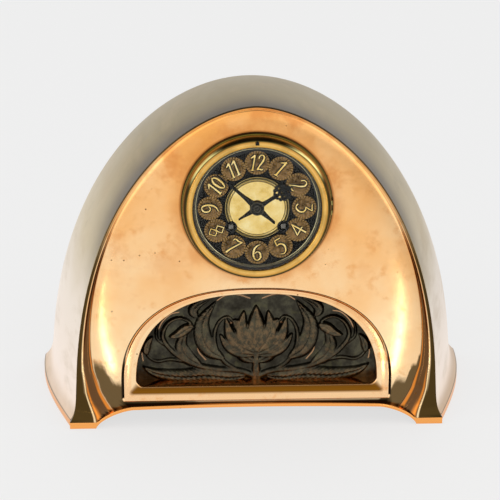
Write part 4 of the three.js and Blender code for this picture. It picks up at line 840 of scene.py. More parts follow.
def makePanel():
    edge, ridge = panel["edge"], panel["ridge"]
    # rings from the back over the edge and the band to the middle: inset, depth, share of the foot's flare
    rings = [(lambda z: edge + 3.6, case["panelBack"], 0), (lambda z: edge + 3.6, case["seam"], 0),
             (lambda z: edge, case["seam"], 0), (lambda z: edge, panel["bandFace"] + 0.3, 1),
             (lambda z: edge + 0.3, panel["bandFace"], 1)]
    for t in (0.25, 0.5, 0.75, 0.93, 0.985):
        rings.append((lambda z, t=t: edge + (bandWidth(z) - edge) * t,
                      panel["bandFace"] + (ridge - panel["bandFace"]) * t, 1 - 0.1 * t))
    for t, fallen in ((0, 0), (0.025, 0.02), (0.06, 0.05)):
        rings.append((lambda z, t=t: bandWidth(z) + t * valleyWidth(z), ridge + fallen, 0.9))
    bandFirst, pillowSteps = 5, 16  # the first ring inside the band's edge, and how many the pillow has
    for i in range(1, 11):
        t = i / 10
        fallen = math.sin(math.pi / 2 * min(t / 0.6, 1)) ** 0.9
        back = max(0, (t - 0.6) / 0.4) ** 1.5
        depth = ridge + (panel["valley"] - ridge) * fallen
        depth += (panel["shoulder"] - panel["valley"]) * back
        rings.append((lambda z, t=t: bandWidth(z) + valleyWidth(z) * (0.06 + 0.94 * t), depth, 0.9 - 0.3 * t))
    for i in range(1, pillowSteps + 1):
        t = 1 - math.cos(math.pi / 2 * i / pillowSteps)
        swell = math.sqrt(1 - (1 - t) ** 2)
        depth = panel["shoulder"] + (case["panel"] - panel["shoulder"]) * swell
        reach = panel["pillow"] * t
        rings.append((lambda z, reach=reach: bandWidth(z) + valleyWidth(z) + reach, depth, 0.6 * (1 - swell)))
    count = len(rings)
    inner = 5  # columns of the flat middle and of the back, on each side
    last = count + 2 * inner

    def placeOf(column, row):
        side = 1 if column <= last else -1
        index = (column if side == 1 else 2 * last - column) - inner
        share = 1
        if index < 0:
            share = 1 + index / inner
        if index >= count:
            share = 1 - (index - count + 1) / (inner + 1)
        insetAt, depth, foot = rings[min(max(index, 0), count - 1)]
        x, z = archPoint(row, case["seam"], insetAt, index >= 2)
        if bandFirst <= index < count - pillowSteps:  # band, ridge and valley level out to the crown
            depth += (7.2 - depth) * 0.9 * step(z, 150, 235)
        forward = foot * flare(z, case["reachFront"])
        return at(side * x * share, max(depth - forward, 0.4), z)

    piece = gridPiece("panel", 2 * last, apexLevel, placeOf)
    closeUp(piece, fill=True)
    through = (-5, 20)
    hole = platePiece("dial hole", [circle(0, dialCentre, 59.3, 96)], *through)
    window = platePiece("window", [lunetteOutline(0.45)], *through)
    span, rim = panel["archSpan"], case["rim"]
    under = [(x, archHeight(x)) for x in archStations()]
    arch = platePiece("arch", [under + [(-span, -5), (span, -5)]], *through)
    cutAway(piece, hole, window, arch)

    # the bright lip that runs round the opening and ends in the two foot blocks
    shape = archAt(case["seam"])
    outer = shape["width"] + shape["reach"] - edge
    over = [(x, z + panel["lip"]) for x, z in under if z + panel["lip"] > 7]
    outline = under + [(-outer, 0), (-outer, rim), (-span, rim)]
    outline += over[::-1] + [(span, rim), (outer, rim), (outer, 0)]
    lip = platePiece("lip", [outline], 0, case["seam"], bevel=0.45)
    addMark(lip, "rim", lambda x, depth, z: 1)
    # painted shade along the back of the lip, where it meets the panel
    addMark(lip, "crease", lambda x, depth, z: 0.85 * step(depth, 2.0, 3.0))
    addMark(piece, "crease", creaseOf)
    front = [(x, z, insetOf(x, z)) for x, _, z in placesOf(piece)]
    for kind in ("band", "ridge", "valley", "glow", "painted_dark_reflection"):
        addMark(piece, kind, [zoneOf(kind, *place) for place in front])
    smooth(piece, 24)
    smooth(lip, 40)
    settle(joined("front_panel_polished", piece, lip), "case", "polished_bronze", "front_panel")


makePanel()
print("front panel made")


def makeFrame():  # profile: grow, then how far back from its front on the sides and along the foot
    front = case["panel"] - lunette["proud"]
    profile = [(0, 4.5, 4.5), (0, 2.6, 1.8), (0.02, 1.4, 0.7), (0.05, 0.75, 0.2), (0.09, 0.38, 0.1),
               (0.15, 0.14, 0.7), (0.24, 0.02, 1.25), (0.34, 0, 1.2), (0.41, 0.02, 0.5), (0.47, 0.06, 0.1),
               (0.62, 0.18, 0), (0.8, 0.5, 0), (0.82, 1.5, 0.05), (0.86, 1.95, 0.1), (0.88, 1.2, 0.13),
               (0.905, 0.9, 0.17), (0.925, 1.3, 0.2), (0.945, 2.1, 0.3), (0.99, 2.3, 0.9), (1, 2.1, 2.1),
               (0.42, 2.1, 2.1), (0.42, 11.4, 11.4), (0.3, 18.4, 18.4), (0, 18.4, 18.4), (0, 12.4, 12.4)]
    loops = [lunetteOutline(row[0]) for row in profile]
    loops.append(loops[0])
    count = len(loops[0])
    placed = []

    def placeOf(column, row):
        column %= count
        x, z = loops[row][column]
        grow, onSide, onFoot = profile[row % len(profile)]
        foot = step(loops[0][column][1], lunette["base"] + 6.5, lunette["base"] + 0.5)
        low = step(z, 90, 55)
        if 0.81 < grow < 0.885:  # low down the double groove becomes one dark line
            onSide += (0.62 - onSide) * low
        if 0.9 < grow < 0.94:
            onSide += (2.0 - onSide) * low
        depth = front + onSide + (onFoot - onSide) * foot
        z -= 1.3 * foot * step(grow, 0.5, 0.9)
        if grow > 0.93 and row % len(profile) > 12:
            x += math.copysign(1.2 * step(z, 105, 48) * (1 - foot), x)
        placed.append((grow, foot, depth - front))
        return at(x, depth, z)

    piece = gridPiece("lunette_frame", count, len(profile), placeOf)

    # painted shade in the grooves and down the reveal (crease), painted dark reflection on the sill (gutter),
    # painted shade where the face rolls into the reveal (valley), painted orange reflection on the outer part
    # (glow)
    def marked(kind, grow, foot, back):
        if kind == "crease":
            return max(step(back, 1.3, 1.9) * (grow > 0.8) * (1 - foot), 0.6 * step(back, 5, 12))
        if kind == "gutter":
            return foot * step(grow, 0.03, 0.06) * step(grow, 0.6, 0.5)
        if kind == "valley":
            return step(back, 1.0, 2.8) * (grow < 0.4)
        return foot * (grow < 0.03) if kind == "rim" else 0.22 * (grow > 0.4)

    for kind in ("valley", "glow", "gutter", "crease", "rim"):
        addMark(piece, kind, [marked(kind, *one) for one in placed])
    closeUp(piece)
    smooth(piece, 35)
    settle(piece, "case", "polished_bronze", "relief_frame")


makeFrame()
print("lunette frame made")

# Relief: a flower with whiplash stems, leaves and buds. Strokes: height, then x, z and half width at
# each point. Leaves and petals: height, half width, then x and z. The left side mirrors the right.
relief = {
    "thickness": 4, "cell": 0.7, "ground": 20.3,
    "strokes": [
        (4.4, [(0, 43.5, 5.4), (0, 53.7, 4.2), (0, 64.8, 3.6), (0, 77.8, 3.4)]),
        (3.6, [(3, 46.3, 3.6), (17.7, 51.8, 3.6), (39.4, 53.7, 3.4), (61.1, 59.3, 3.0), (79.8, 71.3, 2.6),
               (90.7, 87.1, 2.2), (86.7, 101.1, 2.0), (75.9, 107.6, 1.7), (65.1, 103.9, 1.5),
               (63.1, 95.5, 1.3), (70, 90.9, 1.1)]),
        (3.2, [(15.8, 50.9, 2.4), (29.6, 60.2, 2.3), (38.4, 74.1, 2.1), (40.4, 90.9, 1.9),
               (35.5, 103.9, 1.7), (27.6, 108.5, 1.4), (21.7, 102.9, 1.2)]),
        (2.8, [(65.1, 61.1, 2.0), (82.8, 64.8, 1.9), (96.6, 63, 1.6), (105.5, 68.6, 1.3),
               (106.5, 76.9, 1.1)]),
        (2.4, [(86.7, 77.8, 1.4), (96.6, 87.1, 1.3), (95.6, 100.2, 1.1), (88.7, 109.4, 0.9)]),
    ],
    "leaves": [
        (4.8, 9.0, [(9.9, 46.3), (27.6, 44.9), (49.3, 47.2), (72.9, 46.3), (96.6, 50), (110.4, 57.4)]),
        (4.6, 9.0, [(31.5, 64.8), (45.3, 74.1), (52.2, 89), (51.3, 105.7), (39.4, 124.3)]),
        (4.2, 7.5, [(53.2, 57.4), (67, 66.7), (72.9, 79.7), (67, 96.4)]),
        (4.0, 6.0, [(2, 61.1), (11.8, 66.7), (19.7, 77.8), (21.7, 94.6)]),
        (3.8, 5.0, [(57.2, 107.6), (61.1, 115), (55.2, 122.5), (41.4, 129)]),
    ],
    "petals": [
        (6.2, 10.0, [(0, 72.3), (0, 87.1), (0, 102), (0, 120.6)]),
        (5.6, 8.5, [(1, 72.3), (8.9, 82.5), (13.8, 96.4), (11.8, 115)]),
        (5.0, 7.5, [(1, 70.4), (13.8, 76.9), (24.6, 89), (29.6, 107.6)]),
        (4.4, 5.5, [(2, 68.6), (15.8, 70.4), (27.6, 77.8), (35.5, 90.9)]),
        (5.0, 5.6, [(61.1, 100.2), (68, 96.4), (75.9, 90.9), (84.8, 88.1)]),
        (4.4, 5.0, [(21.7, 105.7), (18.7, 101.1), (15.8, 94.6), (14.8, 87.1)]),
        (4.4, 4.6, [(106.5, 70.4), (107.4, 76), (105.5, 82.5), (100.5, 89)]),
    ],
    "etched": [
        [(25.6, 87.1), (30.6, 94.6), (28.6, 101.1), (22.7, 102)],
        [(49.3, 63), (56.2, 72.3), (56.2, 82.5), (50.3, 87.1)],
        [(5.9, 127.1), (17.7, 130.8), (29.6, 129.9), (37.5, 125.2)],
        [(74.9, 113.2), (82.8, 111.3), (90.7, 103.9), (95.6, 94.6)],
        [(110.4, 63), (111.4, 70.4), (110.4, 76)],
    ],
}


def curveThrough(points):  # Catmull-Rom through the listed points, ten steps between two
    rows = np.array(points, float)
    padded = np.vstack([2 * rows[0] - rows[1], rows, 2 * rows[-1] - rows[-2]])
    fine = []
    for i in range(1, len(padded) - 2):
        a, b, c, d = padded[i - 1:i + 3]
        for t in np.linspace(0, 1, 10, endpoint=False):
            fine.append(0.5 * (2 * b + (c - a) * t + (2 * a - 5 * b + 4 * c - d) * t * t
                               + (3 * b - 3 * c + d - a) * t ** 3))
    fine.append(padded[-2])
    return np.array(fine)


def nearest(spots, line):  # distance to a line, share of its length, and the side
    best = np.full(len(spots), 1e9)
    share = np.zeros(len(spots))
    side = np.zeros(len(spots))
    for i in range(len(line) - 1):
        a, b = line[i, :2], line[i + 1, :2]
        along = b - a
        t = np.clip(((spots - a) @ along) / (along @ along), 0, 1)
        off = spots - (a + t[:, None] * along)
        distance = np.hypot(off[:, 0], off[:, 1])
        closer = distance < best
        best = np.where(closer, distance, best)
        share = np.where(closer, (i + t) / (len(line) - 1), share)
        side = np.where(closer, np.sign(along[0] * off[:, 1] - along[1] * off[:, 0]), side)
    return best, share, side


def reliefHeights(spots):
    spots = np.column_stack([np.abs(spots[:, 0]), spots[:, 1]])
    height = np.zeros(len(spots))
    for top, points in relief["strokes"]:
        line = curveThrough(points)
        distance, share, _ = nearest(spots, line)
        width = np.interp(share, np.linspace(0, 1, len(line)), line[:, 2])
        body = top * np.sqrt(np.clip(1 - (distance / width) ** 2, 0, 1))
        height = np.maximum(height, body)
    for kind, veins in (("leaves", True), ("petals", False)):
        for top, width, points in relief[kind]:
            line = curveThrough(points)
            distance, share, side = nearest(spots, line)
            half = width * np.clip(np.sin(math.pi * np.clip(share, 0.0, 1.0) ** 0.8), 0, 1) ** 0.75
            across = distance / np.maximum(half, 0.05)
            body = np.where(across < 1, top * (1 - across ** 2.4) ** 0.6, 0)
            rib = np.exp(-(distance / 0.7) ** 2)
            body = body * (1 - (0.35 if veins else 0.22) * rib)
            if veins:
                lines = np.sin((share * 34 - side * distance * 0.55) * 2.2) ** 2
                body = body * (1 - 0.16 * lines * (across < 0.9))
            else:
                body = body * (1 + 0.12 * across ** 2)
            height = np.maximum(height, body)
    etched = np.zeros(len(spots))
    for points in relief["etched"]:
        distance, _, _ = nearest(spots, curveThrough(points))
        etched = np.maximum(etched, np.clip(1.2 - distance / 0.5, 0, 1))
    etched *= height < 0.4
    return height, etched


def makeRelief():
    outline = [(x, z) for x, z in lunetteOutline(lunette["lap"] / lunette["side"]) if x >= 0]
    xs, zs = np.array(sorted(outline, key=lambda p: p[1])).T
    low, high = round(zs[0], 4), round(zs[-1], 4)
    rows = int((high - low) / relief["cell"])
    columns = int(2 * lunette["halfWidth"] / relief["cell"])

    def placeOf(column, row):
        z = low + (high - low) * row / rows
        return at((2 * column / columns - 1) * np.interp(z, zs, xs), relief["ground"], z)

    piece = gridPiece("relief_casting", columns, rows, placeOf)
    spots = np.array([(p.co.x * 1000, p.co.z * 1000) for p in piece.data.vertices])
    height, etched = reliefHeights(spots)
    x, z = spots.T
    waves = 0.495 * np.sin(x / 13 + 1.3 * np.sin(z / 17)) * np.sin(z / 9 + x / 31)
    uneven = 0.5 + waves * (height < 0.2)  # the ground between the leaves
    for p, rise in zip(piece.data.vertices, height + uneven + 0.25 * etched):
        p.co.y -= rise / 1000
    addMark(piece, "raised", height / 5.5)
    addMark(piece, "etched", etched)
    modify(piece, "SMOOTH", factor=0.5, iterations=2)
    # the back of the plaque
    back = at(0, relief["ground"] + relief["thickness"], 0).y
    editAll(lambda: bpy.ops.mesh.select_all(action="DESELECT"), lambda: bpy.ops.mesh.select_non_manifold(),
            lambda: bpy.ops.mesh.extrude_edges_move(),
            lambda: bpy.ops.transform.resize(value=(1, 0, 1), center_override=(0, back, 0)),
            lambda: bpy.ops.mesh.edge_face_add(), selectAll, turnOutwards)
    smooth(piece, 60)
    settle(piece, "case", "dark_patina", "relief_plaque")


makeRelief()
print("relief made")


def proud(height):  # heights in front of the panel
    return case["panel"] - height


def turnedPiece(name, profile, steps, centre=(0, dialCentre)):  # profile: radius and height
    return spunPiece(name, [(radius, proud(height)) for radius, height in profile], centre, steps)


bezelHinge = {
    "x": 70.8, "height": 2.5, "radius": 1.5, "pitch": 14 / 3, "gap": 0.3, "notch": 7.3, "notchX": 69.4,
}


def makeBezel():
    quarter = [math.pi / 2 * i / 14 for i in range(15)]
    flank = [(70.4 - 3.7 * (1 - math.cos(angle)), 3.4 + 10.5 * math.sin(angle)) for angle in quarter]
    profile = [(69.4, 0.5), (71.6, 0.5), (71.95, 0.9), (72, 1.8), (71.8, 2.5), (71.4, 2.85), (70.95, 2.9),
               (70.6, 2.8)]
    profile += flank
    profile += [(66.2, 13.75), (65.6, 13.35), (64.6, 13.1), (63.2, 13.05), (62.1, 13.2), (61.4, 13.45),
                (61.0, 13.4), (60.9, 13.1), (60.9, 12.75), (62.9, 12.75), (62.9, 11.9), (66.4, 11.9),
                (68.2, 6.4)]
    ring = turnedPiece("bezel_turned", profile, 160)
    low, high = dialCentre - bezelHinge["notch"], dialCentre + bezelHinge["notch"]
    inner = bezelHinge["notchX"]
    notch = [(inner, low), (76, low), (76, high), (inner, high)]
    cutAway(ring, platePiece("notch", [notch], proud(5.5), proud(-4)))
    smooth(ring, 40)
    settle(ring, "bezel", "bezel_bronze")
    knuckles = []
    length = bezelHinge["pitch"] - bezelHinge["gap"]
    for side in (1, -1):
        middle = dialCentre + side * (bezelHinge["pitch"] + bezelHinge["gap"] / 2)
        place = at(bezelHinge["x"], proud(bezelHinge["height"]), middle)
        knuckles.append(cylinder(place, bezelHinge["radius"], length, 28))
        bpy.ops.mesh.primitive_cube_add(size=1, location=at(69.9, proud(6.4), middle))
        strap = bpy.context.object
        strap.scale = (0.002, 0.007, length / 1000)
        knuckles.append(strap)
    hinge = joined("bezel_knuckles", *knuckles)
    modify(hinge, "BEVEL", width=0.00025, segments=2)
    smooth(hinge)
    settle(hinge, "bezel", "bezel_bronze", "bezel_ring")
    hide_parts("bezel_ring")


makeBezel()

tab = {"foot": 1.9, "shoulder": 1.2, "tip": 0.5, "middle": 65.2, "front": 14.9, "back": 14.1}


def makeTab():
    middle = dialCentre + tab["middle"]
    right = [(tab["foot"], middle - 2), (tab["shoulder"], middle + 1), (tab["tip"], middle + 2)]
    plate = platePiece("tab_plate", [mirrored(right)], proud(tab["front"]), proud(tab["back"]), bevel=0.2)
    profile = softened([(0, 14.85), (0, 15.0), (0.8, 15.0), (1.0, 14.85)], 0.1)
    dot = turnedPiece("tab_dot", profile, 20, (0, middle))
    piece = joined("bezel_tab_filed", plate, dot)
    smooth(piece)
    settle(piece, "bezel", "blued_steel", "bezel_tab")


makeTab()


def makeGlass():
    profile = [(0, 12.9), (55.9, 12.9), (62.5, 12.45), (62.6, 12.35), (62.6, 11.95), (0, 11.95)]
    piece = turnedPiece("bezel_glass_cut", profile, 96)
    smooth(piece, 3)
    settle(piece, "bezel", "glass", "bezel_glass")


makeGlass()
print("bezel made")


def makeDialRing():
    profile = [(57.3, 6.35), (57.35, 6.8), (57.7, 7.1), (58.2, 7.05), (58.5, 6.8), (59.0, 7.0), (59.8, 8.6),
               (60.8, 10.6), (61.3, 11.35), (62.4, 11.4), (62.5, 11.2), (62.5, 1.8), (65.8, 1.8),
               (65.8, 0.3), (60.9, 0.3), (60.9, 6.2), (57.3, 6.2)]
    settle(turnedPiece("dial_ring_turned", profile, 128), "case", "bezel_bronze", "dial_ring")


makeDialRing()

dial = {"orbit": 44.4, "roundel": 11.9, "plate": 6.3, "face": 7.5, "uneven": 0.12, "ferrule": 5.75,
        "winding": [(24.7, 207.9), (-24.7, 207.9)]}


def turnedAbout(centre, points, angle):  # turned clockwise, seen from the front
    cosine, sine = math.cos(angle), math.sin(angle)
    return [(centre[0] + x * cosine + z * sine, centre[1] - x * sine + z * cosine) for x, z in points]


def hourPlace(hour):  # the middle of a roundel, its angle, and how much it stands out
    angle = math.radians(30 * hour)
    centre = turnedAbout((0, dialCentre), [(0, dial["orbit"])], angle)[0]
    return centre, angle, dial["uneven"] * (hour % 3)


def windingTools():
    bores = [circle(x, z, dial["ferrule"] + 0.1, 40) for x, z in dial["winding"]]
    return [platePiece("bore", [bore], -20, 30) for bore in bores]


def makeRoundels():
    pieces = []
    radius, plate = dial["roundel"], dial["plate"]
    for hour in range(12):
        centre, _, lift = hourPlace(hour)
        face = dial["face"] + lift - 0.2
        profile = [(0, plate), (0, face - 0.1), (4, face - 0.12), (8, face - 0.05), (9.3, face + 0.05),
                   (9.8, face - 0.12), (10.2, face + 0.1), (10.9, face + 0.22), (11.5, face + 0.08),
                   (11.85, face - 0.3), (radius, plate)]
        piece = turnedPiece("roundel", profile, 64, centre)
        layer = piece.data.uv_layers.new(name="roundel")
        middle = at(centre[0], 0, centre[1])
        for loop in piece.data.loops:
            off = (piece.data.vertices[loop.vertex_index].co - middle) * 1000 / radius
            layer.data[loop.index].uv = (off.x, off.z)
        pieces.append(piece)
    piece = joined("roundels_stippled", *pieces)
    cutAway(piece, *windingTools())
    smooth(piece, 40)
    settle(piece, "case", "stippled_bronze", "chapter_ring")


# Numerals in strokes: x, z and half width in mm, about the middle of each figure
figures = {
    "1": [[(-2.6, 3.6, 0.5), (-0.9, 4.6, 0.75), (0.6, 5.9, 0.8)],
          [(0.6, 5.9, 0.75), (0.3, 0, 0.7), (0.0, -5.6, 0.85)],
          [(-1.5, -5.8, 0.5), (0, -5.7, 0.6), (1.5, -5.8, 0.5)]],
    "2": [[(-2.2, 3.4, 0.75), (-1.2, 5.4, 0.5), (0.8, 5.9, 0.55), (2.3, 4.2, 0.85), (1.8, 1.6, 0.85),
           (-0.4, -1.8, 0.6), (-2.6, -5.2, 0.55)],
          [(-2.6, -5.3, 0.5), (-0.6, -4.9, 0.75), (1.4, -5.4, 0.7), (2.8, -4.6, 0.4)]],
    "3": [[(-2.4, 5.6, 0.55), (0, 5.5, 0.6), (2.6, 5.6, 0.5)],
          [(2.5, 5.5, 0.5), (1.2, 3.2, 0.5), (-0.3, 1.0, 0.5)],
          [(-0.3, 1.0, 0.5), (2.0, 0.8, 0.7), (3.1, -1.8, 0.9), (1.6, -4.8, 0.75), (-0.9, -5.6, 0.5),
           (-2.7, -4.2, 0.7)]],
    "4": [[(1.4, 5.9, 0.5), (-0.8, 2.2, 0.55), (-3.4, -1.6, 0.55)],
          [(-3.5, -1.8, 0.55), (0, -1.7, 0.65), (3.6, -1.6, 0.5)],
          [(1.3, 5.9, 0.6), (1.3, 0, 0.75), (1.3, -5.8, 0.85)]],
    "5": [[(2.6, 5.6, 0.5), (0.4, 5.5, 0.6), (-1.5, 5.6, 0.5)],
          [(-1.5, 5.6, 0.6), (-1.8, 3.4, 0.6), (-2.0, 1.4, 0.5)],
          [(-2.0, 1.5, 0.5), (0.6, 1.8, 0.7), (2.5, -0.2, 0.9), (2.1, -3.6, 0.85), (-0.2, -5.8, 0.55),
           (-2.6, -5.0, 0.6)]],
    "6": [[(2.2, 5.9, 0.4), (-0.4, 4.4, 0.7), (-2.3, 1.2, 0.9), (-2.4, -2.6, 0.9), (-0.4, -5.7, 0.6),
           (2.0, -4.6, 0.8), (2.3, -1.6, 0.85), (0.6, 0.5, 0.55), (-1.8, -0.8, 0.5)]],
    "7": [[(-3.0, 3.9, 0.45), (-2.6, 5.6, 0.6), (0, 5.2, 0.7), (3.0, 5.7, 0.5)],
          [(3.0, 5.6, 0.5), (1.0, 1.6, 0.65), (-0.8, -2.2, 0.8), (-2.0, -5.9, 0.95)]],
    "8": [[(-2.9, 2.5, 0.6), (0.5, 5.6, 0.6), (3.3, 2.6, 0.6), (-0.3, -0.5, 0.6), (-2.9, 2.5, 0.6)],
          [(-3.3, -2.6, 0.6), (0.3, 0.5, 0.6), (2.9, -2.5, 0.6), (-0.5, -5.6, 0.6), (-3.3, -2.6, 0.6)]],
    "9": [[(-2.2, -5.9, 0.4), (0.6, -4.2, 0.7), (2.4, -0.6, 0.9), (2.3, 3.0, 0.9), (0.4, 5.7, 0.6),
           (-2.0, 4.6, 0.8), (-2.4, 1.8, 0.85), (-0.8, -0.3, 0.55), (1.6, 0.9, 0.5)]],
    "0": [[(0, 5.8, 0.5), (-2.2, 3.6, 0.85), (-2.6, 0, 0.95), (-1.9, -3.8, 0.85), (0, -5.8, 0.5),
           (1.9, -3.8, 0.85), (2.6, 0, 0.95), (2.2, 3.6, 0.85), (0, 5.8, 0.5)]],
}


def makeNumerals():
    clearSelection()
    data = bpy.data.curves.new("numerals", "CURVE")
    data.dimensions = "3D"
    data.bevel_depth = 0.001
    data.bevel_resolution = 3
    data.use_fill_caps = True
    data.resolution_u = 8
    level = dial["face"] - 0.15
    for hour in range(1, 13):
        text = str(hour)
        alone = len(text) == 1
        centre, angle, lift = hourPlace(hour)
        turned = angle + math.pi if 3 < hour < 9 else angle
        lean = 0.12 if text in ("1", "2", "10", "11", "12", "7") else 0.0
        large, narrow = (1.36, 1) if alone else (1.26, 0.86)
        for index, figure in enumerate(text):
            shift = 0 if alone else (index - 0.5) * (5.6 if text == "11" else 7.0)
            for stroke in figures[figure]:
                spline = data.splines.new("BEZIER")
                spline.bezier_points.add(len(stroke) - 1)
                for point, (x, z, half) in zip(spline.bezier_points, stroke):
                    spot = (large * (x * narrow + z * lean) + shift, large * z)
                    x, z = turnedAbout(centre, [spot], turned)[0]
                    point.co = at(x, proud(level + lift), z)
                    point.handle_left_type = point.handle_right_type = "VECTOR" if text == "8" else "AUTO"
                    point.radius = 1.4 * half ** 1.25
    made = []
    for name, wider in (("numerals_raised", 0), ("numerals_patina_and_shade_edge", 0.95)):
        for spline in data.splines:
            for point in spline.bezier_points:
                point.radius += wider
        piece = bpy.data.objects.new(name, data.copy())
        scene.collection.objects.link(piece)
        pick(piece)
        bpy.ops.object.convert(target="MESH")
        made.append(bpy.context.object)
        smooth(made[-1], 60)
    numerals, edge = made
    flat = at(0, proud(level + dial["uneven"]), 0).y
    for point in edge.data.vertices:  # flattened, so that it only lines the foot of each stroke: dark patina there, and painted shade
        point.co.y = flat + (point.co.y - flat) * 0.16
    settle(edge, "case", "stippled_bronze", "chapter_ring", finishes["dark_patina"])
    settle(numerals, "case", "gilt", "chapter_ring")


makeRoundels()
makeNumerals()


def makeMedallion():
    profile = [(3.3, 6.3), (3.3, 7.75), (3.6, 7.8), (25.6, 7.8), (26.1, 7.7), (26.4, 7.35), (26.9, 7.2),
               (27.3, 7.45), (27.7, 7.6), (28.1, 7.45), (28.5, 7.3), (29.2, 7.45), (29.7, 7.6), (30.2, 7.5),
               (30.5, 7.1), (30.6, 6.3)]
    piece = turnedPiece("medallion_turned", profile, 128)
    cutAway(piece, *windingTools())
    smooth(piece, 35)
    settle(piece, "case", "gilt", "dial_medallion")


makeMedallion()


def makeFerrules():
    profile = [(3.5, 6.3), (3.5, 7.2), (3.9, 7.5), (4.4, 8.1), (5.0, 8.3), (5.5, 8.0), (5.75, 7.4),
               (5.75, 6.3)]
    for name, centre in zip(("winding_ferrule_right", "winding_ferrule_left"), dial["winding"]):
        settle(turnedPiece(name + "_turned", profile, 48, centre), "case", "blued_steel", name)


makeFerrules()
print("dial made")

hands = {"hourAngle": 57, "minuteAngle": 312, "thick": 0.7, "hourHeight": 8.5, "minuteHeight": 9.6,
         "flower": 28, "ring": 4.9}


def makeHand(name, body, replaced, which, shapes):  # shapes point to 12: name, bevel, outlines
    front = proud(hands[which + "Height"] + hands["thick"])
    angle = math.radians(hands[which + "Angle"])
    pieces = []
    for shape, bevel, *outlines in shapes:
        turned = [turnedAbout((0, dialCentre), outline, angle) for outline in outlines]
        pieces.append(platePiece(shape, turned, front, front + hands["thick"], bevel=bevel))
    piece = joined(name, *pieces)
    smooth(piece)
    settle(piece, body, "blued_steel", replaced)


def makeHands():
    # the hour hand's pierced flower: petals round a ring, with leaves up to the point
    middle, head = hands["flower"], []
    for i in range(96):
        angle = math.tau * i / 96
        radius = 7.5 + 1.15 * abs(math.sin(angle * 6)) ** 0.7
        head += turnedAbout((0, middle), [(0, radius)], angle)
    holes = [circle(0, middle, 1.1, 14)]
    for i in range(6):
        spot = turnedAbout((0, middle), [(0, hands["ring"])], math.tau * (i + 0.5) / 6)[0]
        holes.append(circle(*spot, 1.25, 14))
    makeHand("hour_hand_pierced", "hour_pipe", "hour_hand", "hour", [
        ("head", 0.15, head, *holes),
        ("stem", 0.12, mirrored([(5.2, 1.5), (2.2, 6), (1.5, 12), (1.7, 19.5), (1.1, 21.5), (0, 21.8)])),
        ("stem", 0.12, mirrored([(1.5, 34.6), (1.9, 36.5), (0.9, 38), (0, 40)])),
        ("tail", 0.1, mirrored([(0, -21), (0.7, -20.6), (0.85, -16), (2.4, -5), (2.8, -2)])),
        ("boss", 0.12, circle(0, 0, 5.6, 48), circle(0, 0, 3.2, 32))])
    blade = [(4.6, 1.8), (2.6, 6), (1.45, 16), (1.0, 26), (0.75, 40), (0.6, 50), (0, 54)]
    makeHand("minute_hand_filed", "minute_arbor", "minute_hand", "minute", [
        ("blade", 0.12, mirrored(blade)),
        ("tail", 0.1, mirrored([(0, -22.5), (1.0, -22), (1.0, -16), (2.2, -6), (2.8, -2)])),
        ("boss", 0.12, circle(0, 0, 5.2, 48), circle(0, 0, 1.4, 24))])
    under = hands["minuteHeight"] + hands["thick"] + 0.3
    nut = [(0, 0), (6.3, 0), (6.6, 0.2), (6.5, 0.45), (5.9, 0.6), (3.6, 0.68), (3.4, 0.85), (3.0, 0.98),
           (2.6, 0.85), (2.4, 0.5), (1.5, 0.5), (1.35, 0.9), (1.1, 1.0), (0, 1.0)]
    piece = turnedPiece("hand_nut_turned", [(radius, under + height) for radius, height in nut], 56)
    settle(piece, "minute_arbor", "blued_steel", "hand_nut", hubSteel)


makeHands()
print("hands made")


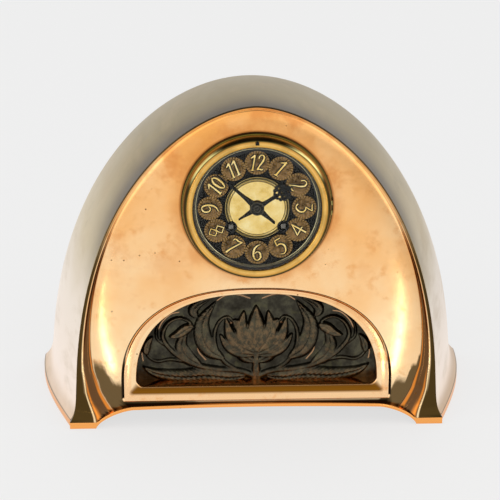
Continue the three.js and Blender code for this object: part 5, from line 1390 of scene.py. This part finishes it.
def makeDoor():
    z, front, edge, hole = dialCentre - door["drop"], case["depth"] + 0.3, door["radius"], door["hole"]
    back = front + door["thick"]
    spots = circle(0, z, door["holeOrbit"], 8)
    holes = [circle(*spot, hole, 32) for spot in spots] + [circle(door["latchX"], z, door["shaft"], 20)]
    pieces = [platePiece("door_plate", [circle(0, z, edge, 128)] + holes, front, back, bevel=0.3, segments=0)]
    # raised rings: radius past the given one, and depth past the back
    bead = [(-7, -0.5), (-3.4, -0.5), (-3.4, 0), (-4, 0.4), (-5.2, 0.62), (-6.4, 0.4), (-7, 0)]
    fillet = [(-9.4, -0.3), (-8.4, -0.3), (-8.4, 0.12), (-8.9, 0.22), (-9.4, 0.12)]
    lip = [(0, -0.5), (1.6, -0.5), (1.6, 0), (1.2, 0.3), (0.6, 0.4), (0, 0.2)]
    rings = [("door_bead", bead, edge, (0, z), 128), ("door_fillet", fillet, edge, (0, z), 128)]
    rings += [("vent_lip", lip, hole, spot, 32) for spot in spots]
    for name, profile, radius, centre, steps in rings:
        pieces.append(spunPiece(name, [(radius + r, back + d) for r, d in profile], centre, steps))
    low, high = z - door["knuckle"] / 2, z + door["knuckle"] / 2
    axis = at(door["hingeX"], door["hingeDepth"], z)
    pieces.append(cylinder(axis, door["hinge"], door["knuckle"]))
    reach = door["hingeX"] - 0.6
    strap = [(62, low), (reach, low), (reach, high), (62, high)]
    pieces.append(platePiece("hinge_tab", [strap], front + 0.2, back + 0.3, bevel=0.2))
    bored = joined("back_door_turned", *pieces)
    cutAway(bored, cylinder(axis, door["pin"], 30))
    smooth(bored, 35)
    settle(bored, "rear_door", "clock_brass", "back_door", sheetBrass)


makeDoor()


def makeBackScrews():
    head = case["depth"] + 0.3
    profile = [(0, head - 3), (1.5, head - 3), (1.5, head), (2.7, head), (3, head + 0.25),
               (2.9, head + 0.8), (2.3, head + 1.3), (1.2, head + 1.55), (0, head + 1.6)]
    for i in range(1, 5):
        name = "back_screw_" + str(i)
        low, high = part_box(name)
        centre = ((low[0] + high[0]) * 500, (low[2] + high[2]) * 500)
        piece = spunPiece("back_screw_slotted_" + str(i), profile, centre, 32)
        corners = [(-4, -0.35), (4, -0.35), (4, 0.35), (-4, 0.35)]
        slot = turnedAbout(centre, corners, -math.radians(25 + 40 * i))
        cutAway(piece, platePiece("slot", [slot], head + 0.8, head + 3))
        smooth(piece, 35)
        settle(piece, "case", "steel", name)


makeBackScrews()
print("back made")

# What stays as CAD solids: the movement, the back plate, the pendulum and the gong
special = {"back_plate": sheetBrass, "going_winding_arbor": squareSteel, "strike_winding_arbor": squareSteel}
for part in frame["record"]["subparts"]:
    piece = frame["nodes"][part["node"]]
    piece.data.materials.clear()
    piece.data.materials.append(special.get(part["node"], finishes[part["material_slot"]]))
print("movement dressed")
